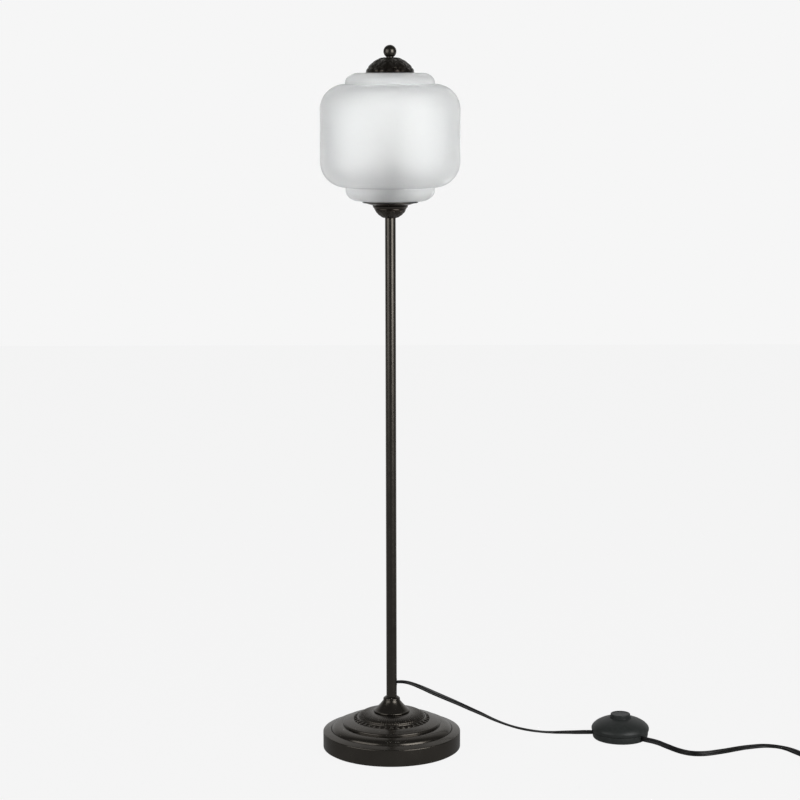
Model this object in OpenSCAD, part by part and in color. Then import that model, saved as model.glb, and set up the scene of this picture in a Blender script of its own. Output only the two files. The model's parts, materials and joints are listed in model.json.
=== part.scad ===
// Lantern floor lamp: a round spun base with a fluted rosette, a slim pole, a stepped
// frosted glass lantern held between a gallery plate and a domed cap with a ball finial,
// and a flat two-core cord with a round foot switch and a plug.
// Millimetres. The origin is the centre of the base on the floor, +Z is up.

/* [Base] */
// Diameter of the base over its upright rim
base_d = 168; // [158:1:220]
// Thickness of the spun steel of the base
base_wall = 1.6; // [1:0.1:2.4]
// Height of the upright rim above the floor
rim_h = 21; // [18:0.5:30]
// Width of the sloping ring on top of the rim
rim_ring_w = 9.5; // [7:0.5:12]
// Rise of the sloping ring towards the middle
rim_ring_rise = 2.5; // [1:0.5:4]
// Width of the round cushion inside the ring
cushion_w = 14; // [10:0.5:18]
// Rise of the round cushion
cushion_rise = 7.1; // [5:0.1:10]
// Height of the sharp step above the cushion
step_rise = 3.2; // [1.8:0.1:5]
// Rise of the sloping band between the step and the rosette
band_rise = 2.8; // [2:0.1:6]
// Thickness of the felt pad under the base
pad_t = 2; // [1:0.5:4]
// Height of the rim's lower edge above the floor
rim_gap = 1; // [0.5:0.1:1.5]

/* [Rosette and neck] */
// Diameter of the fluted rosette
rosette_d = 93; // [80:1:98]
// Height of the rosette in its middle
rosette_h = 9; // [7:0.5:14]
// Number of teeth round the rosette's edge
rosette_teeth = 40; // [12:1:60]
// Diameter of the neck cover at its foot
neck_foot_d = 44; // [40:1:50]
// Height of the neck cover
neck_h = 15.2; // [12:0.1:22]
// Thickness of the neck cover's wall
neck_wall = 1.4; // [1:0.1:2]
// Diameter of the collar on top of the neck cover
collar_d = 20.6; // [18:0.1:24]
// Height of the collar
collar_h = 4; // [3:0.5:6]

/* [Pole] */
// Outside diameter of the pole
pole_d = 12.7; // [12.5:0.1:14.5]
// Wall thickness of the pole
pole_wall = 1.2; // [0.8:0.1:1.3]
// Length of the pole
pole_len = 613; // [400:1:1300]
// Height of the middle of the cord outlet above the floor
outlet_z = 81.5; // [76:0.5:110]
// Outside diameter of the threaded nipples
nipple_d = 10; // [9.6:0.1:10.2]
// Bore of the threaded nipples
nipple_bore = 7; // [6.8:0.1:7.4]

/* [Husk and gallery] */
// Diameter of the husk cup at its top
husk_d = 41.6; // [38:0.2:46]
// Height of the husk cup
husk_h = 15; // [13:0.5:20]
// Thickness of the husk cup's wall
husk_wall = 1.4; // [1:0.1:2]
// Diameter of the gallery plate
plate_d = 66; // [64:0.5:72]
// Thickness of the gallery plate
plate_t = 1.2; // [0.8:0.1:2]
// Rise of the gallery plate from its flat middle to its edge
plate_rise = 2.8; // [2:0.1:3.2]
// Thickness of the gasket under the glass
seat_gasket_t = 1.3; // [1:0.1:3]

/* [Glass lantern] */
// Diameter of the lantern's drum
glass_d = 165.6; // [150:0.2:190]
// Diameter of the lantern's two stepped necks
glass_neck_d = 105.6; // [98:0.2:115]
// Height of the lantern
glass_h = 150; // [145:1:200]
// Radius of the drum's shoulders
shoulder_r = 30; // [20:0.5:36]
// Height of the lower neck
low_neck_h = 16.2; // [14:0.2:20]
// Height of the upper neck
top_neck_h = 12.9; // [12:0.1:16]
// Rounding of the necks' corners, sideways
neck_round_w = 15.6; // [10:0.2:17]
// Rounding of the lower neck's corner, upwards
low_round_h = 12.3; // [8:0.1:13]
// Rounding of the upper neck's corner, upwards
top_round_h = 11.4; // [8:0.1:11.8]
// Thickness of the glass
glass_wall = 3.5; // [2.5:0.1:4.5]
// Diameter of the lantern's lower opening
mouth_d = 60; // [59:0.5:62]
// Diameter of the lantern's upper opening
top_mouth_d = 48; // [40:0.5:50]

/* [Cap and finial] */
// Diameter of the domed cap
cap_d = 57.8; // [54:0.2:66]
// Height of the domed cap
cap_h = 17.6; // [14:0.2:24]
// Thickness of the domed cap's wall
cap_wall = 1.5; // [1:0.1:2]
// Thickness of the gasket under the cap
cap_gasket_t = 0.7; // [0.5:0.1:2]
// Width of the gasket under the cap
cap_gasket_w = 4; // [3:0.5:5]
// Diameter of the ball
ball_d = 15.4; // [13:0.2:20]
// Thickness of the washer under the ball
ball_washer_t = 0.8; // [0.5:0.1:1.5]
// Diameter of the washer under the ball
ball_washer_d = 8.8; // [7.6:0.2:9.6]
// Diameter of the threaded stud that the ball screws on
stud_d = 5; // [4:0.1:5.4]
// Length of the stud inside the ball
stud_in_ball = 8; // [6:0.5:9]

/* [Inner frame and lampholder] */
// Distance between the two upright rods
rod_spacing = 51; // [50:0.5:53]
// Diameter of the upright rods
rod_d = 3; // [2.5:0.1:4]
// Width of the saddle strap and of the bridge
strap_w = 13; // [11:0.5:14]
// Thickness of the saddle strap and of the bridge
strap_t = 2; // [1.5:0.1:3]
// Height of the spacer under the saddle
spacer_h = 3; // [3:0.1:5]
// Diameter of the lampholder
holder_d = 38; // [36:0.5:40]
// Height of the lampholder's cap
holder_cap_h = 14; // [12:0.5:18]
// Height of the lampholder's shell above its cap
holder_shell_h = 32; // [28:0.5:40]
// Wall thickness of the lampholder's cap and shell
holder_wall = 1.4; // [1:0.1:1.6]
// Diameter of the bulb's screw cap
bulb_cap_d = 26.2; // [26:0.1:26.4]
// Diameter of the bulb's glass
bulb_d = 45; // [40:0.5:45]
// Whole length of the bulb
bulb_len = 78; // [72:1:90]

/* [Cord and foot switch] */
// Width of the flat two-core cord
cord_w = 6.4; // [5.4:0.1:6.6]
// Thickness of the flat two-core cord
cord_t = 2.8; // [2.7:0.1:3.2]
// Diameter of the foot switch
switch_d = 71.2; // [68:0.2:80]
// Height of the switch's lower shell above its feet
switch_base_h = 8.4; // [8:0.1:8.6]
// Height of the cover's rounded lower edge, up to its widest place
switch_edge_h = 3.4; // [3:0.1:4.2]
// Height of the cover's dome above its widest place, were it not cut off by the button's hole
switch_dome_h = 15; // [14.6:0.2:18]
// Wall thickness of the switch's shells
switch_wall = 2; // [1.5:0.1:2.2]
// Diameter of the foot button
button_d = 24.2; // [22:0.2:26]
// How far the button stands above its collar
button_proud = 3.4; // [3.2:0.1:5]
// How far the button travels
button_travel = 3.2; // [2:0.1:3.2]
// Number of turns in the put-away coil
coil_turns = 5.5; // [3.5:1:7.5]
// Radius of the coil's outermost turn
coil_out_r = 39.5; // [38:0.1:41]

/* [Plug] */
// Width of the plug's body
plug_w = 35.4; // [33:0.2:38]
// Thickness of the plug's body
plug_t = 13.7; // [12:0.1:15]
// Length of the plug's body
plug_len = 32; // [28:0.5:40]
// Diameter of the plug's pins
pin_d = 4; // [3.8:0.1:4.2]
// Length of the plug's pins
pin_len = 19; // [17:0.5:20]
// Distance between the plug's pins
pin_spacing = 18.6; // [17:0.1:19.5]
// Length of the plug's tapered strain relief
relief_len = 22; // [20:1:40]

/* [Hidden] */

$fn = 96;

bronze = "#2f2b26";
steel = "#9a9a98";
brass = "#b99a4c";
black = "#1c1c1b";
switch_grey = "#3b3f3d";
porcelain = "#e6e2d8";

// Clearances
fit_gap = 0.1;      // between a hole and the still piece that stands in it
run_gap = 0.05;     // between the stud and the ball's tapped hole
thread_gap = 0.3;   // between the bulb's cap and the screw shell
slide_gap = 0.25;   // between the button and its collar
lay_gap = 0.3;      // between a soft piece and what it lies against
cord_gap = 0.2;     // between the cord and the slots that it passes through
far = 300;          // longer than any piece that is cut with it
tiny = 0.01;

// Base, from the floor up
rim_r = base_d / 2;
ring_in_r = rim_r - rim_ring_w;
ring_in_z = rim_h + rim_ring_rise;
crease = 0.7;
cushion_r = ring_in_r - crease;
cushion_z = ring_in_z - crease;
step_r = cushion_r - cushion_w;
step_z = cushion_z + cushion_rise;
band_z = step_z + step_rise;
plateau_z = band_z + band_rise;
edge_round = 0.8;
step_round = 2.2;
seat_rim = 1.2;
rosette_r = rosette_d / 2;
plateau_r = rosette_r + seat_rim;
pad_r = rim_r - base_wall - 0.5;

// Weight and what clamps it
nut_h = 6;
nut_af = 17;
washer_t = 1.4;
washer_d = 26;
thread_proud = 0.4;
weight_recess = nut_h + washer_t + thread_proud;
weight_top = rim_h - 3;
weight_r = rim_r - base_wall - 4;
weight_boss_r = 20;
plateau_under = plateau_z - base_wall;
nipple_hole_r = nipple_d / 2 + fit_gap;

// Rosette and neck
tooth_band_w = 4.6;
tooth_r = 1.9;
tooth_depth = 1.1;
bead_r = 0.9;
rosette_edge = 1;
rosette_top = plateau_z + rosette_h;
bead_ring_r = rosette_r - tooth_band_w - bead_r;
tooth_rise = 0.28;
pole_hole_r = pole_d / 2 + fit_gap;
neck_top = rosette_top + neck_h;
foot_bead_r = 1.1;
collar_inset = 0.5;

// Pole
pole_z0 = plateau_z;
pole_top = pole_z0 + pole_len;
pole_in_r = pole_d / 2 - pole_wall;
nipple_in_pole = 20;
bushing_wall = 0.7;
bushing_r = cord_w / 2 + cord_gap + bushing_wall;
bushing_proud = 0.25;
bend_r = 4.9;
outlet_x = pole_d / 2 + bushing_proud + 0.3;

// Husk, gallery and what stands on them
husk_top = pole_top + husk_h;
hub_t = 3.4;
husk_hub_r = pole_d / 2 + 0.6;
husk_nut_h = 3;
husk_nut_af = 14;
plate_flat_r = husk_d / 2 + 0.4;
plate_mid = husk_top + plate_t;
plate_edge_z = husk_top + plate_rise + plate_t;
plate_lip = 3.6;
glass_z0 = plate_edge_z + seat_gasket_t;
glass_z1 = glass_z0 + glass_h;
drum_z0 = glass_z0 + low_neck_h + shoulder_r;
drum_z1 = glass_z1 - top_neck_h - shoulder_r;
shoulder_cut = (shoulder_r - glass_wall) * sin(36);

// Inner frame
spacer_r = 9;
saddle_z = plate_mid + spacer_h;
saddle_top = saddle_z + strap_t;
strap_half = rod_spacing / 2 + rod_d / 2;
bridge_top = glass_z1 - 5.8;
bridge_z = bridge_top - strap_t;
bridge_nut_h = 3.2;
bridge_nut_af = 8;
stud_under = 4.6;

// Lampholder and bulb
holder_z = saddle_top;
holder_cap_top = holder_z + holder_cap_h;
holder_top = holder_cap_top + holder_shell_h;
shell_lap = 2;
holder_in_r = holder_d / 2 - 2 * holder_wall - fit_gap;
insulator_r = holder_in_r - fit_gap;
insulator_h = 16;
insulator_z = holder_z + 8;
top_nipple_top = holder_z + 6;
shell_wall = 0.6;
screw_shell_r = bulb_cap_d / 2 + thread_gap;
contact_r = 4;
contact_t = 1.5;
bulb_z0 = insulator_z + insulator_h + contact_t + thread_gap;
bulb_cap_h = 25;
bulb_z1 = bulb_z0 + bulb_len;
core_tail_r = 0.7;
core_top = top_nipple_top + 1.8;
terminal_x = 9;
terminal_r = 1.5;
terminal_len = 6;
terminal_head_r = 2.8;
terminal_head_t = 1.6;

// Cap and finial
cap_z0 = glass_z1 + cap_gasket_t;
cap_flat_r = ball_washer_d / 2 + 0.6;
cap_curve_r = (cap_d * cap_d / 4 + cap_h * cap_h) / (2 * cap_h);
cap_curve_z = cap_z0 + cap_h - cap_curve_r;
cap_flat_z = cap_curve_z + sqrt(cap_curve_r * cap_curve_r - cap_flat_r * cap_flat_r);
cap_hole_r = stud_d / 2 + thread_gap;
ball_seat_z = cap_flat_z + ball_washer_t;
ball_r = ball_d / 2;
ball_seat_r = ball_washer_d / 2 + 0.3;
ball_z = ball_seat_z + sqrt(ball_r * ball_r - ball_seat_r * ball_seat_r);
stud_top = ball_seat_z + stud_in_ball - 1;

// Foot switch, centred at switch_at on the floor
switch_at = [284, 32];
switch_r = switch_d / 2;
fullness = 1.75;
foot_t = 1;
foot_r = 3.5;
foot_ring_r = 23;
switch_seam = foot_t + switch_base_h;
seam_gap = 0.4;
cover_z = switch_seam + seam_gap;
dome_z = cover_z + switch_edge_h;
edge_inset = 1;
shell_inset = 0.9;
cord_in_z = 7.4;
cord_in_angle = 180;
cord_in_twist = 20;
cord_out_z = 6.5;
cord_out_angle = -46;
block_r = 15;
block_z = foot_t + switch_wall;
block_h = 10.4;
block_top = block_z + block_h;
collar_w = 0.9;
collar_rise = 1.5;
collar_r = button_d / 2 + slide_gap + collar_w;
collar_z = dome_z + dome_height(collar_r, switch_r, switch_dome_h);
collar_top = collar_z + collar_rise;
button_top = collar_top + button_proud;
flange_r = button_d / 2 + 2.3;
dome_in_r = switch_r - switch_wall;
dome_in_h = switch_dome_h - switch_wall;
flange_top = dome_z + dome_height(flange_r, dome_in_r, dome_in_h) - slide_gap;
flange_t = 1.5;
flange_z = flange_top - flange_t;
stem_r = 3.5;
stem_len = 12.6;
stem_hole_r = stem_r + slide_gap;
spring_wire_r = 0.4;
spring_r = 5.8;
spring_turns = 5;
post_r = 3;
post_ring_r = 25.4;
post_angles = [20, 120, 245];
screw_r = 1.4;
screw_head_r = 2.6;
screw_head_t = 1.2;
screw_len = 12;

// Route of the cord from the pole to the switch: x, y, z, and its roll in degrees
route_to_switch = [
    [outlet_x, 0, outlet_z, 0], [14, 0, outlet_z, 3], [23, 0.5, 79.5, 12], [36, 2, 74, 28],
    [51, 4, 66.5, 43], [66, 7, 59, 39], [81, 10, 51.5, 31], [96, 13.5, 43.5, 26],
    [111, 17.5, 35.5, 17], [126, 22, 27, 5], [141, 27, 19.5, -5], [156, 33, 13, -12],
    [172, 40, 7.5, -15], [188, 45.5, 3.8, -13], [203, 49, 2, -6], [217, 47.5, 2.6, 7],
    [230, 41, 4.6, 20], [240, 35, 6.6, 25], [248, 32.3, 7.4, 20], [257, 32, 7.4, 8],
    [268.8, 32, 7.4, 0]
];
// Route of the cord from the switch to the coil: x, y, z, and its roll in degrees
route_from_switch = [
    [294.6, 21, 6.5, 90], [301, 14.4, 6.5, 90], [308.5, 6.4, 6.7, 88], [315, 0, 7, 84],
    [321, -5, 7, 80], [327, -9.5, 6.4, 76], [333, -14, 5.1, 74], [339.5, -20, 4, 72],
    [346.5, -28, 3.4, 70], [353.5, -35.5, 3.3, 70], [362, -41.3, 3.3, 68], [372, -43.3, 3.3, 64],
    [383, -41.5, 3.2, 60], [394, -36.8, 3.1, 55], [406, -30.8, 2.9, 47], [418, -24, 2.8, 40],
    [430, -17.8, 2.7, 34], [442, -13, 2.5, 28], [454, -9.7, 2.4, 22], [465, -9.6, 2.1, 15],
    [475, -13.6, 2, 12], [483, -22.2, 2.4, 24], [489, -34, 3.1, 50], [494, -46, 3.9, 76],
    [497.6, -56, 4.1, 90], [499, -65.2, 4.1, 90], [499, -71.6, 4.1, 90]
];
// Route of the cord from the coil to the plug, counted from the coil's end
route_to_plug = [
    [0, 0, 11.1, 90], [0, 6.6, 11.1, 90], [1, 16, 10.2, 70], [3, 26, 8.8, 35],
    [4, 35, 7.4, 8], [4, 44, 6.85, 0], [4, 52.6, 6.85, 0]
];

// The coil starts where the cord from the switch ends, and ends opposite
coil_pitch = cord_t + 0.9;
coil_layer = 7;
coil_lift = 0.9;
coil_z = coil_lift + cord_w / 2;
coil_steps = 24;
coil_start = 180;
coil_from = route_from_switch[len(route_from_switch) - 1];
coil_at = [coil_from.x + coil_out_r, coil_from.y - cord_w];
coil_to = [coil_at.x + coil_out_r, coil_from.y];
tie_w = 9;
tie_t = 0.6;
tie_angle = 90;

// The plug lies at the end of the last route
plug_from = route_to_plug[len(route_to_plug) - 1];
plug_at = [coil_to.x + plug_from.x, coil_to.y + plug_from.y];
plug_z = plug_t / 2;
sleeve_len = 10;
sleeve_r = pin_d / 2;
pin_tip_r = pin_d / 2 - 0.15;

// ---- Shared shapes ----

// Points of an arc of an ellipse, from angle a0 to a1
function arc(cx, cz, rx, rz, a0, a1, n = 10) = [
    for (i = [0 : n])
        let (a = a0 + (a1 - a0) * i / n)
        [cx + rx * cos(a), cz + rz * sin(a)]
];

// A ring of rectangular section
module ring(r_out, r_in, z0, z1) {
    translate([0, 0, z0])
        difference() {
            cylinder(r = r_out, h = z1 - z0);
            translate([0, 0, -1]) cylinder(r = r_in, h = z1 - z0 + 2);
        }
}

// A hexagonal nut
module nut(af, bore_r, z0, h) {
    translate([0, 0, z0])
        difference() {
            cylinder(r = af / sqrt(3), h = h, $fn = 6);
            translate([0, 0, -1]) cylinder(r = bore_r, h = h + 2);
        }
}

function unit(v) = v / norm(v);

// Direction in which a route of points runs at point i
function heading(p, i) = unit(p[min(i + 1, len(p) - 1)] - p[max(i - 1, 0)]);

// One ring of a swept tube: the section's points, rolled, square to the route
function tube_ring(at, dir, roll, section) =
    let (side = unit(cross([0, 0, 1], dir)))
    let (up = cross(dir, side))
    let (wide = side * cos(roll) + up * sin(roll))
    let (thick = up * cos(roll) - side * sin(roll))
    [for (s = section) at + wide * s.x + thick * s.y];

// The faces of a tube with n rings of m points
function tube_faces(n, m) = concat(
    [[for (j = [0 : m - 1]) j]],
    [for (i = [0 : n - 2], j = [0 : m - 1])
        [i * m + j, (i + 1) * m + j, (i + 1) * m + (j + 1) % m]],
    [for (i = [0 : n - 2], j = [0 : m - 1])
        [i * m + j, (i + 1) * m + (j + 1) % m, i * m + (j + 1) % m]],
    [[for (j = [m - 1 : -1 : 0]) (n - 1) * m + j]]
);

// A tube along points, with one roll for each of them
module tube(points, rolls, section) {
    rings = [
        for (i = [0 : len(points) - 1])
            tube_ring(points[i], heading(points, i), rolls[i], section)
    ];
    polyhedron(
        points = [for (r = rings, q = r) q],
        faces = tube_faces(len(points), len(section)),
        convexity = 4
    );
}

// The flat cord's section, with its corners cut
cord_cut = cord_t / 2 - 0.6;
cord_section = [
    for (s = [[1, 1], [-1, 1], [-1, -1], [1, -1]], k = [0, 1])
        let (first = (s.x * s.y > 0) ? k : 1 - k)
        [s.x * (cord_w / 2 - (first == 1 ? cord_cut : 0)),
         s.y * (cord_t / 2 - (first == 1 ? 0 : cord_cut))]
];

// A free stretch of cord along a route
module cord(route) {
    color(black)
        tube([for (p = route) [p.x, p.y, p.z]], [for (p = route) p[3]], cord_section);
}

// Points of a curve that leaves a for c along the line to b
function bent(a, b, c, n = 10) = [
    for (i = [0 : n])
        let (u = i / n)
        (1 - u) * (1 - u) * a + 2 * u * (1 - u) * b + u * u * c
];

// ---- Base ----

// Half-section of the base shell's outside, from the rim's foot to the middle
base_outline = concat(
    [[rim_r - edge_round, rim_gap], [rim_r, rim_gap + edge_round]],
    arc(rim_r - edge_round, rim_h - edge_round, edge_round, edge_round, 0, 70, 4),
    [[ring_in_r, ring_in_z], [cushion_r, cushion_z]],
    arc(step_r, cushion_z, cushion_w, cushion_rise, 8, 90, 10),
    arc(step_r - step_round, band_z - 0.6 * step_round, step_round, 0.8 * step_round, 0, 70, 4),
    [[plateau_r, plateau_z], [nipple_hole_r, plateau_z]]
);

// Half-section of the base shell's inside, from the middle to the rim's foot
base_inside = [
    [nipple_hole_r, plateau_under],
    [plateau_r, plateau_under],
    [step_r - base_wall, band_z - base_wall],
    [step_r - base_wall, step_z - base_wall],
    [cushion_r - 0.5 * cushion_w, step_z - base_wall - 0.14 * cushion_rise],
    [cushion_r - base_wall - 0.1 * cushion_w, cushion_z - base_wall + 0.25 * cushion_rise],
    [cushion_r - base_wall, cushion_z - base_wall],
    [rim_r - base_wall, rim_h - base_wall],
    [rim_r - base_wall, rim_gap]
];

module felt_pad() {
    color("#20201f") cylinder(r = pad_r, h = pad_t);
}

module base_shell() {
    color(bronze) rotate_extrude() polygon(concat(base_outline, base_inside));
}

module base_weight() {
    color("#44423f")
        rotate_extrude()
        polygon([
            [washer_d / 2 + 1, pad_t],
            [weight_r, pad_t],
            [weight_r, weight_top - 2],
            [weight_r - 2, weight_top],
            [weight_boss_r + 4, weight_top],
            [weight_boss_r, weight_top + 4],
            [weight_boss_r, plateau_under],
            [nipple_hole_r, plateau_under],
            [nipple_hole_r, pad_t + weight_recess],
            [washer_d / 2 + 1, pad_t + weight_recess]
        ]);
}

module base_washer() {
    washer_z = pad_t + weight_recess - washer_t;
    color(steel) ring(washer_d / 2, nipple_hole_r, washer_z, washer_z + washer_t);
}

module base_nut() {
    color(steel) nut(nut_af, nipple_hole_r, pad_t + thread_proud, nut_h);
}

module base_nipple() {
    color(steel)
        ring(nipple_d / 2, nipple_bore / 2, pad_t + 0.1, pole_z0 + nipple_in_pole);
}

// Half-section of the rosette before its teeth and flutes are cut
rosette_outline = concat(
    [[pole_hole_r, plateau_z], [rosette_r, plateau_z], [rosette_r, plateau_z + rosette_edge]],
    [[rosette_r - tooth_band_w, plateau_z + rosette_edge + tooth_rise * tooth_band_w]],
    arc(bead_ring_r, plateau_z + rosette_edge + tooth_rise * tooth_band_w, bead_r, bead_r, 0, 160, 6),
    arc(neck_foot_d / 2, plateau_z + 0.35 * rosette_h,
        bead_ring_r - bead_r - neck_foot_d / 2, 0.65 * rosette_h, 5, 90, 8),
    [[pole_hole_r, rosette_top]]
);

module base_rosette() {
    tooth_z = plateau_z + rosette_edge + tooth_r - tooth_depth;
    color(bronze)
        difference() {
            rotate_extrude() polygon(rosette_outline);
            for (i = [0 : rosette_teeth - 1])
                rotate(i * 360 / rosette_teeth)
                translate([rosette_r - tooth_band_w + tooth_r * 0.6, 0, tooth_z + tooth_r * 0.6])
                rotate([0, 90 + atan(tooth_rise), 0])
                cylinder(r = tooth_r, h = 2 * tooth_band_w, $fn = 24);
        }
}

module neck_cover() {
    top_r = collar_d / 2 - collar_inset;
    foot_r = neck_foot_d / 2;
    flare_w = foot_r - foot_bead_r - top_r;
    flare_z = rosette_top + 2 * foot_bead_r;
    flare_h = neck_top - flare_z;
    outside = concat(
        arc(foot_r - foot_bead_r, rosette_top + foot_bead_r, foot_bead_r, foot_bead_r, -80, 80, 6),
        [for (k = [0.08 : 0.115 : 1]) [top_r + flare_w * pow(1 - k, 1.3), flare_z + flare_h * k]],
        [[top_r, neck_top]]
    );
    inside = [
        [top_r - neck_wall, neck_top],
        [top_r - neck_wall, neck_top - 0.25 * flare_h],
        [top_r - neck_wall + 0.3 * flare_w, neck_top - 0.62 * flare_h],
        [foot_r - 2 * foot_bead_r - neck_wall, rosette_top + foot_bead_r],
        [foot_r - 2 * foot_bead_r - neck_wall, rosette_top]
    ];
    color(bronze) rotate_extrude() polygon(concat(outside, inside));
}

module neck_collar() {
    r = collar_d / 2;
    color(bronze)
        rotate_extrude()
        polygon(concat(
            [[pole_hole_r, neck_top], [r - collar_inset, neck_top], [r, neck_top + 0.4]],
            arc(r - 1, neck_top + 0.8, 1, 0.9, 0, 60, 4),
            [[pole_hole_r + 0.8, neck_top + collar_h - 0.4], [pole_hole_r, neck_top + collar_h]]
        ));
}

// ---- Pole and the wiring in it ----

module pole() {
    color(bronze)
        difference() {
            ring(pole_d / 2, pole_in_r, pole_z0, pole_top);
            translate([0, 0, outlet_z])
                rotate([0, 90, 0])
                cylinder(r = bushing_r + fit_gap, h = pole_d, $fn = 48);
        }
}

module cord_bushing() {
    color(black)
        intersection() {
            translate([pole_in_r - 0.7, 0, outlet_z])
                rotate([0, 90, 0])
                difference() {
                    cylinder(r = bushing_r, h = pole_d, $fn = 48);
                    translate([0, 0, -1])
                        cylinder(r = cord_w / 2 + cord_gap, h = pole_d + 2, $fn = 48);
                }
            translate([0, 0, outlet_z - pole_d])
                cylinder(r = pole_d / 2 + bushing_proud, h = 2 * pole_d);
        }
}

// The two cores of the cord's section, side by side along y
module core_pair() {
    for (s = [-1, 1])
        translate([0, s * (cord_w - cord_t) / 2]) circle(r = cord_t / 2 - tiny, $fn = 32);
}

module inner_cord() {
    run_z = outlet_z + bend_r;
    color(black) {
        translate([0, 0, run_z]) linear_extrude(core_top - run_z) core_pair();
        translate([bend_r, 0, run_z])
            rotate([90, 0, 0])
            rotate([0, 0, 180])
            rotate_extrude(angle = 90)
            translate([bend_r, 0])
            core_pair();
        translate([bend_r, 0, outlet_z])
            rotate([0, 90, 0])
            linear_extrude(outlet_x - bend_r)
            core_pair();
        for (s = [-1, 1])
            translate([0, s * (cord_w - cord_t) / 2, core_top - core_tail_r])
            rotate([0, s * 90, 0])
            cylinder(r = core_tail_r, h = terminal_x - terminal_head_r - fit_gap, $fn = 24);
    }
}

module top_nipple() {
    color(steel)
        ring(nipple_d / 2, nipple_bore / 2, pole_top - nipple_in_pole, top_nipple_top);
}

// ---- Husk cup and gallery ----

module husk_cup() {
    r = husk_d / 2;
    knee = [husk_hub_r + 0.74 * (r - husk_hub_r), pole_top + 0.32 * husk_h];
    floor_r = husk_nut_af / sqrt(3) + 0.8;
    outside = bent([husk_hub_r + 0.3, pole_top + 0.6], knee, [r, husk_top], 12);
    inside = bent(
        [r - husk_wall, husk_top],
        [knee.x - 0.8 * husk_wall, knee.y + 0.8 * husk_wall],
        [floor_r, pole_top + hub_t],
        12
    );
    hub = [[nipple_hole_r, pole_top + hub_t], [nipple_hole_r, pole_top], [husk_hub_r, pole_top]];
    color(bronze) rotate_extrude() polygon(concat(hub, outside, inside));
}

module husk_nut() {
    color(steel) nut(husk_nut_af, nipple_hole_r, pole_top + hub_t, husk_nut_h);
}

module gallery_plate() {
    r = plate_d / 2;
    color(bronze)
        rotate_extrude()
        polygon([
            [nipple_hole_r, husk_top],
            [plate_flat_r, husk_top],
            [r - plate_lip, plate_edge_z - plate_t],
            [r, plate_edge_z - 0.6 * plate_t],
            [r, plate_edge_z],
            [r - plate_lip - 0.4, plate_edge_z],
            [plate_flat_r - 0.6, plate_mid],
            [nipple_hole_r, plate_mid]
        ]);
}

module seat_gasket() {
    color(black)
        ring(plate_d / 2 - 0.2, plate_d / 2 - plate_lip + 0.4, plate_edge_z, glass_z0);
}

// ---- Glass lantern ----

// Half-section of the glass, moved in by w from its outside
function glass_line(w) =
    let (r = glass_d / 2 - w, n = glass_neck_d / 2 - w, round_w = neck_round_w - w)
    concat(
        arc(n - round_w, glass_z0 + low_round_h, round_w, low_round_h - w, -90, 0, 7),
        arc(n, drum_z0, r - n, shoulder_r - w, -90, 0, 9),
        arc(n, drum_z1, r - n, shoulder_r - w, 0, 90, 9),
        arc(n - round_w, glass_z1 - top_round_h, round_w, top_round_h - w, 0, 90, 7)
    );

function reversed(p) = [for (i = [len(p) - 1 : -1 : 0]) p[i]];

// The lantern is one moulding, held as six rings that meet face to face: this one is its
// part between the heights z0 and z1
module glass_ring(z0, z1) {
    color([0.9, 0.91, 0.91, 0.6])
        intersection() {
            rotate_extrude($fn = 128)
                polygon(concat(
                    [[mouth_d / 2, glass_z0]],
                    glass_line(0),
                    [[top_mouth_d / 2, glass_z1], [top_mouth_d / 2, glass_z1 - glass_wall]],
                    reversed(glass_line(glass_wall)),
                    [[mouth_d / 2, glass_z0 + glass_wall]]
                ));
            translate([0, 0, z0]) cylinder(r = glass_d, h = z1 - z0);
        }
}

module glass_foot() {
    glass_ring(glass_z0, glass_z0 + low_neck_h);
}

module glass_flare() {
    glass_ring(glass_z0 + low_neck_h, drum_z0 - shoulder_cut);
}

module glass_low_shoulder() {
    glass_ring(drum_z0 - shoulder_cut, drum_z0);
}

module glass_drum() {
    glass_ring(drum_z0, drum_z1);
}

module glass_high_shoulder() {
    glass_ring(drum_z1, glass_z1 - top_neck_h);
}

module glass_head() {
    glass_ring(glass_z1 - top_neck_h, glass_z1);
}

// ---- Inner frame ----

module saddle_spacer() {
    color(steel) ring(spacer_r, nipple_hole_r, plate_mid, saddle_z);
}

// A flat strap with round ends and a hole in its middle
module strap(z0, hole_r) {
    color(steel)
        translate([0, 0, z0])
        difference() {
            intersection() {
                translate([-strap_half, -strap_w / 2, 0]) cube([2 * strap_half, strap_w, strap_t]);
                cylinder(r = strap_half + rod_d / 8, h = strap_t);
            }
            translate([0, 0, -1]) cylinder(r = hole_r, h = strap_t + 2);
        }
}

module frame_saddle() {
    strap(saddle_z, nipple_hole_r);
}

module frame_rods() {
    color(steel)
        for (s = [-1, 1])
            translate([s * rod_spacing / 2, 0, saddle_top])
            cylinder(r = rod_d / 2, h = bridge_z - saddle_top, $fn = 48);
}

module frame_bridge() {
    strap(bridge_z, stud_d / 2 + fit_gap);
}

module bridge_nuts() {
    color(steel) {
        nut(bridge_nut_af, stud_d / 2 + fit_gap, bridge_z - bridge_nut_h, bridge_nut_h);
        nut(bridge_nut_af, stud_d / 2 + fit_gap, bridge_top, bridge_nut_h);
    }
}

module finial_stud() {
    color(steel)
        translate([0, 0, bridge_z - stud_under])
        cylinder(r = stud_d / 2, h = stud_top - bridge_z + stud_under, $fn = 48);
}

// ---- Lampholder and bulb ----

module holder_cap() {
    r = holder_d / 2;
    color("#26221f")
        rotate_extrude()
        polygon(concat(
            [[nipple_hole_r, holder_z], [r - 4, holder_z]],
            arc(r - 4, holder_z + 4, 4, 4, -90, 0, 6),
            [[r, holder_cap_top], [r - holder_wall, holder_cap_top]],
            [[r - holder_wall, holder_z + 4]],
            arc(r - 4, holder_z + 4, 4 - holder_wall, 4 - holder_wall, 0, -90, 4),
            [[nipple_hole_r, holder_z + holder_wall]]
        ));
}

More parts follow.
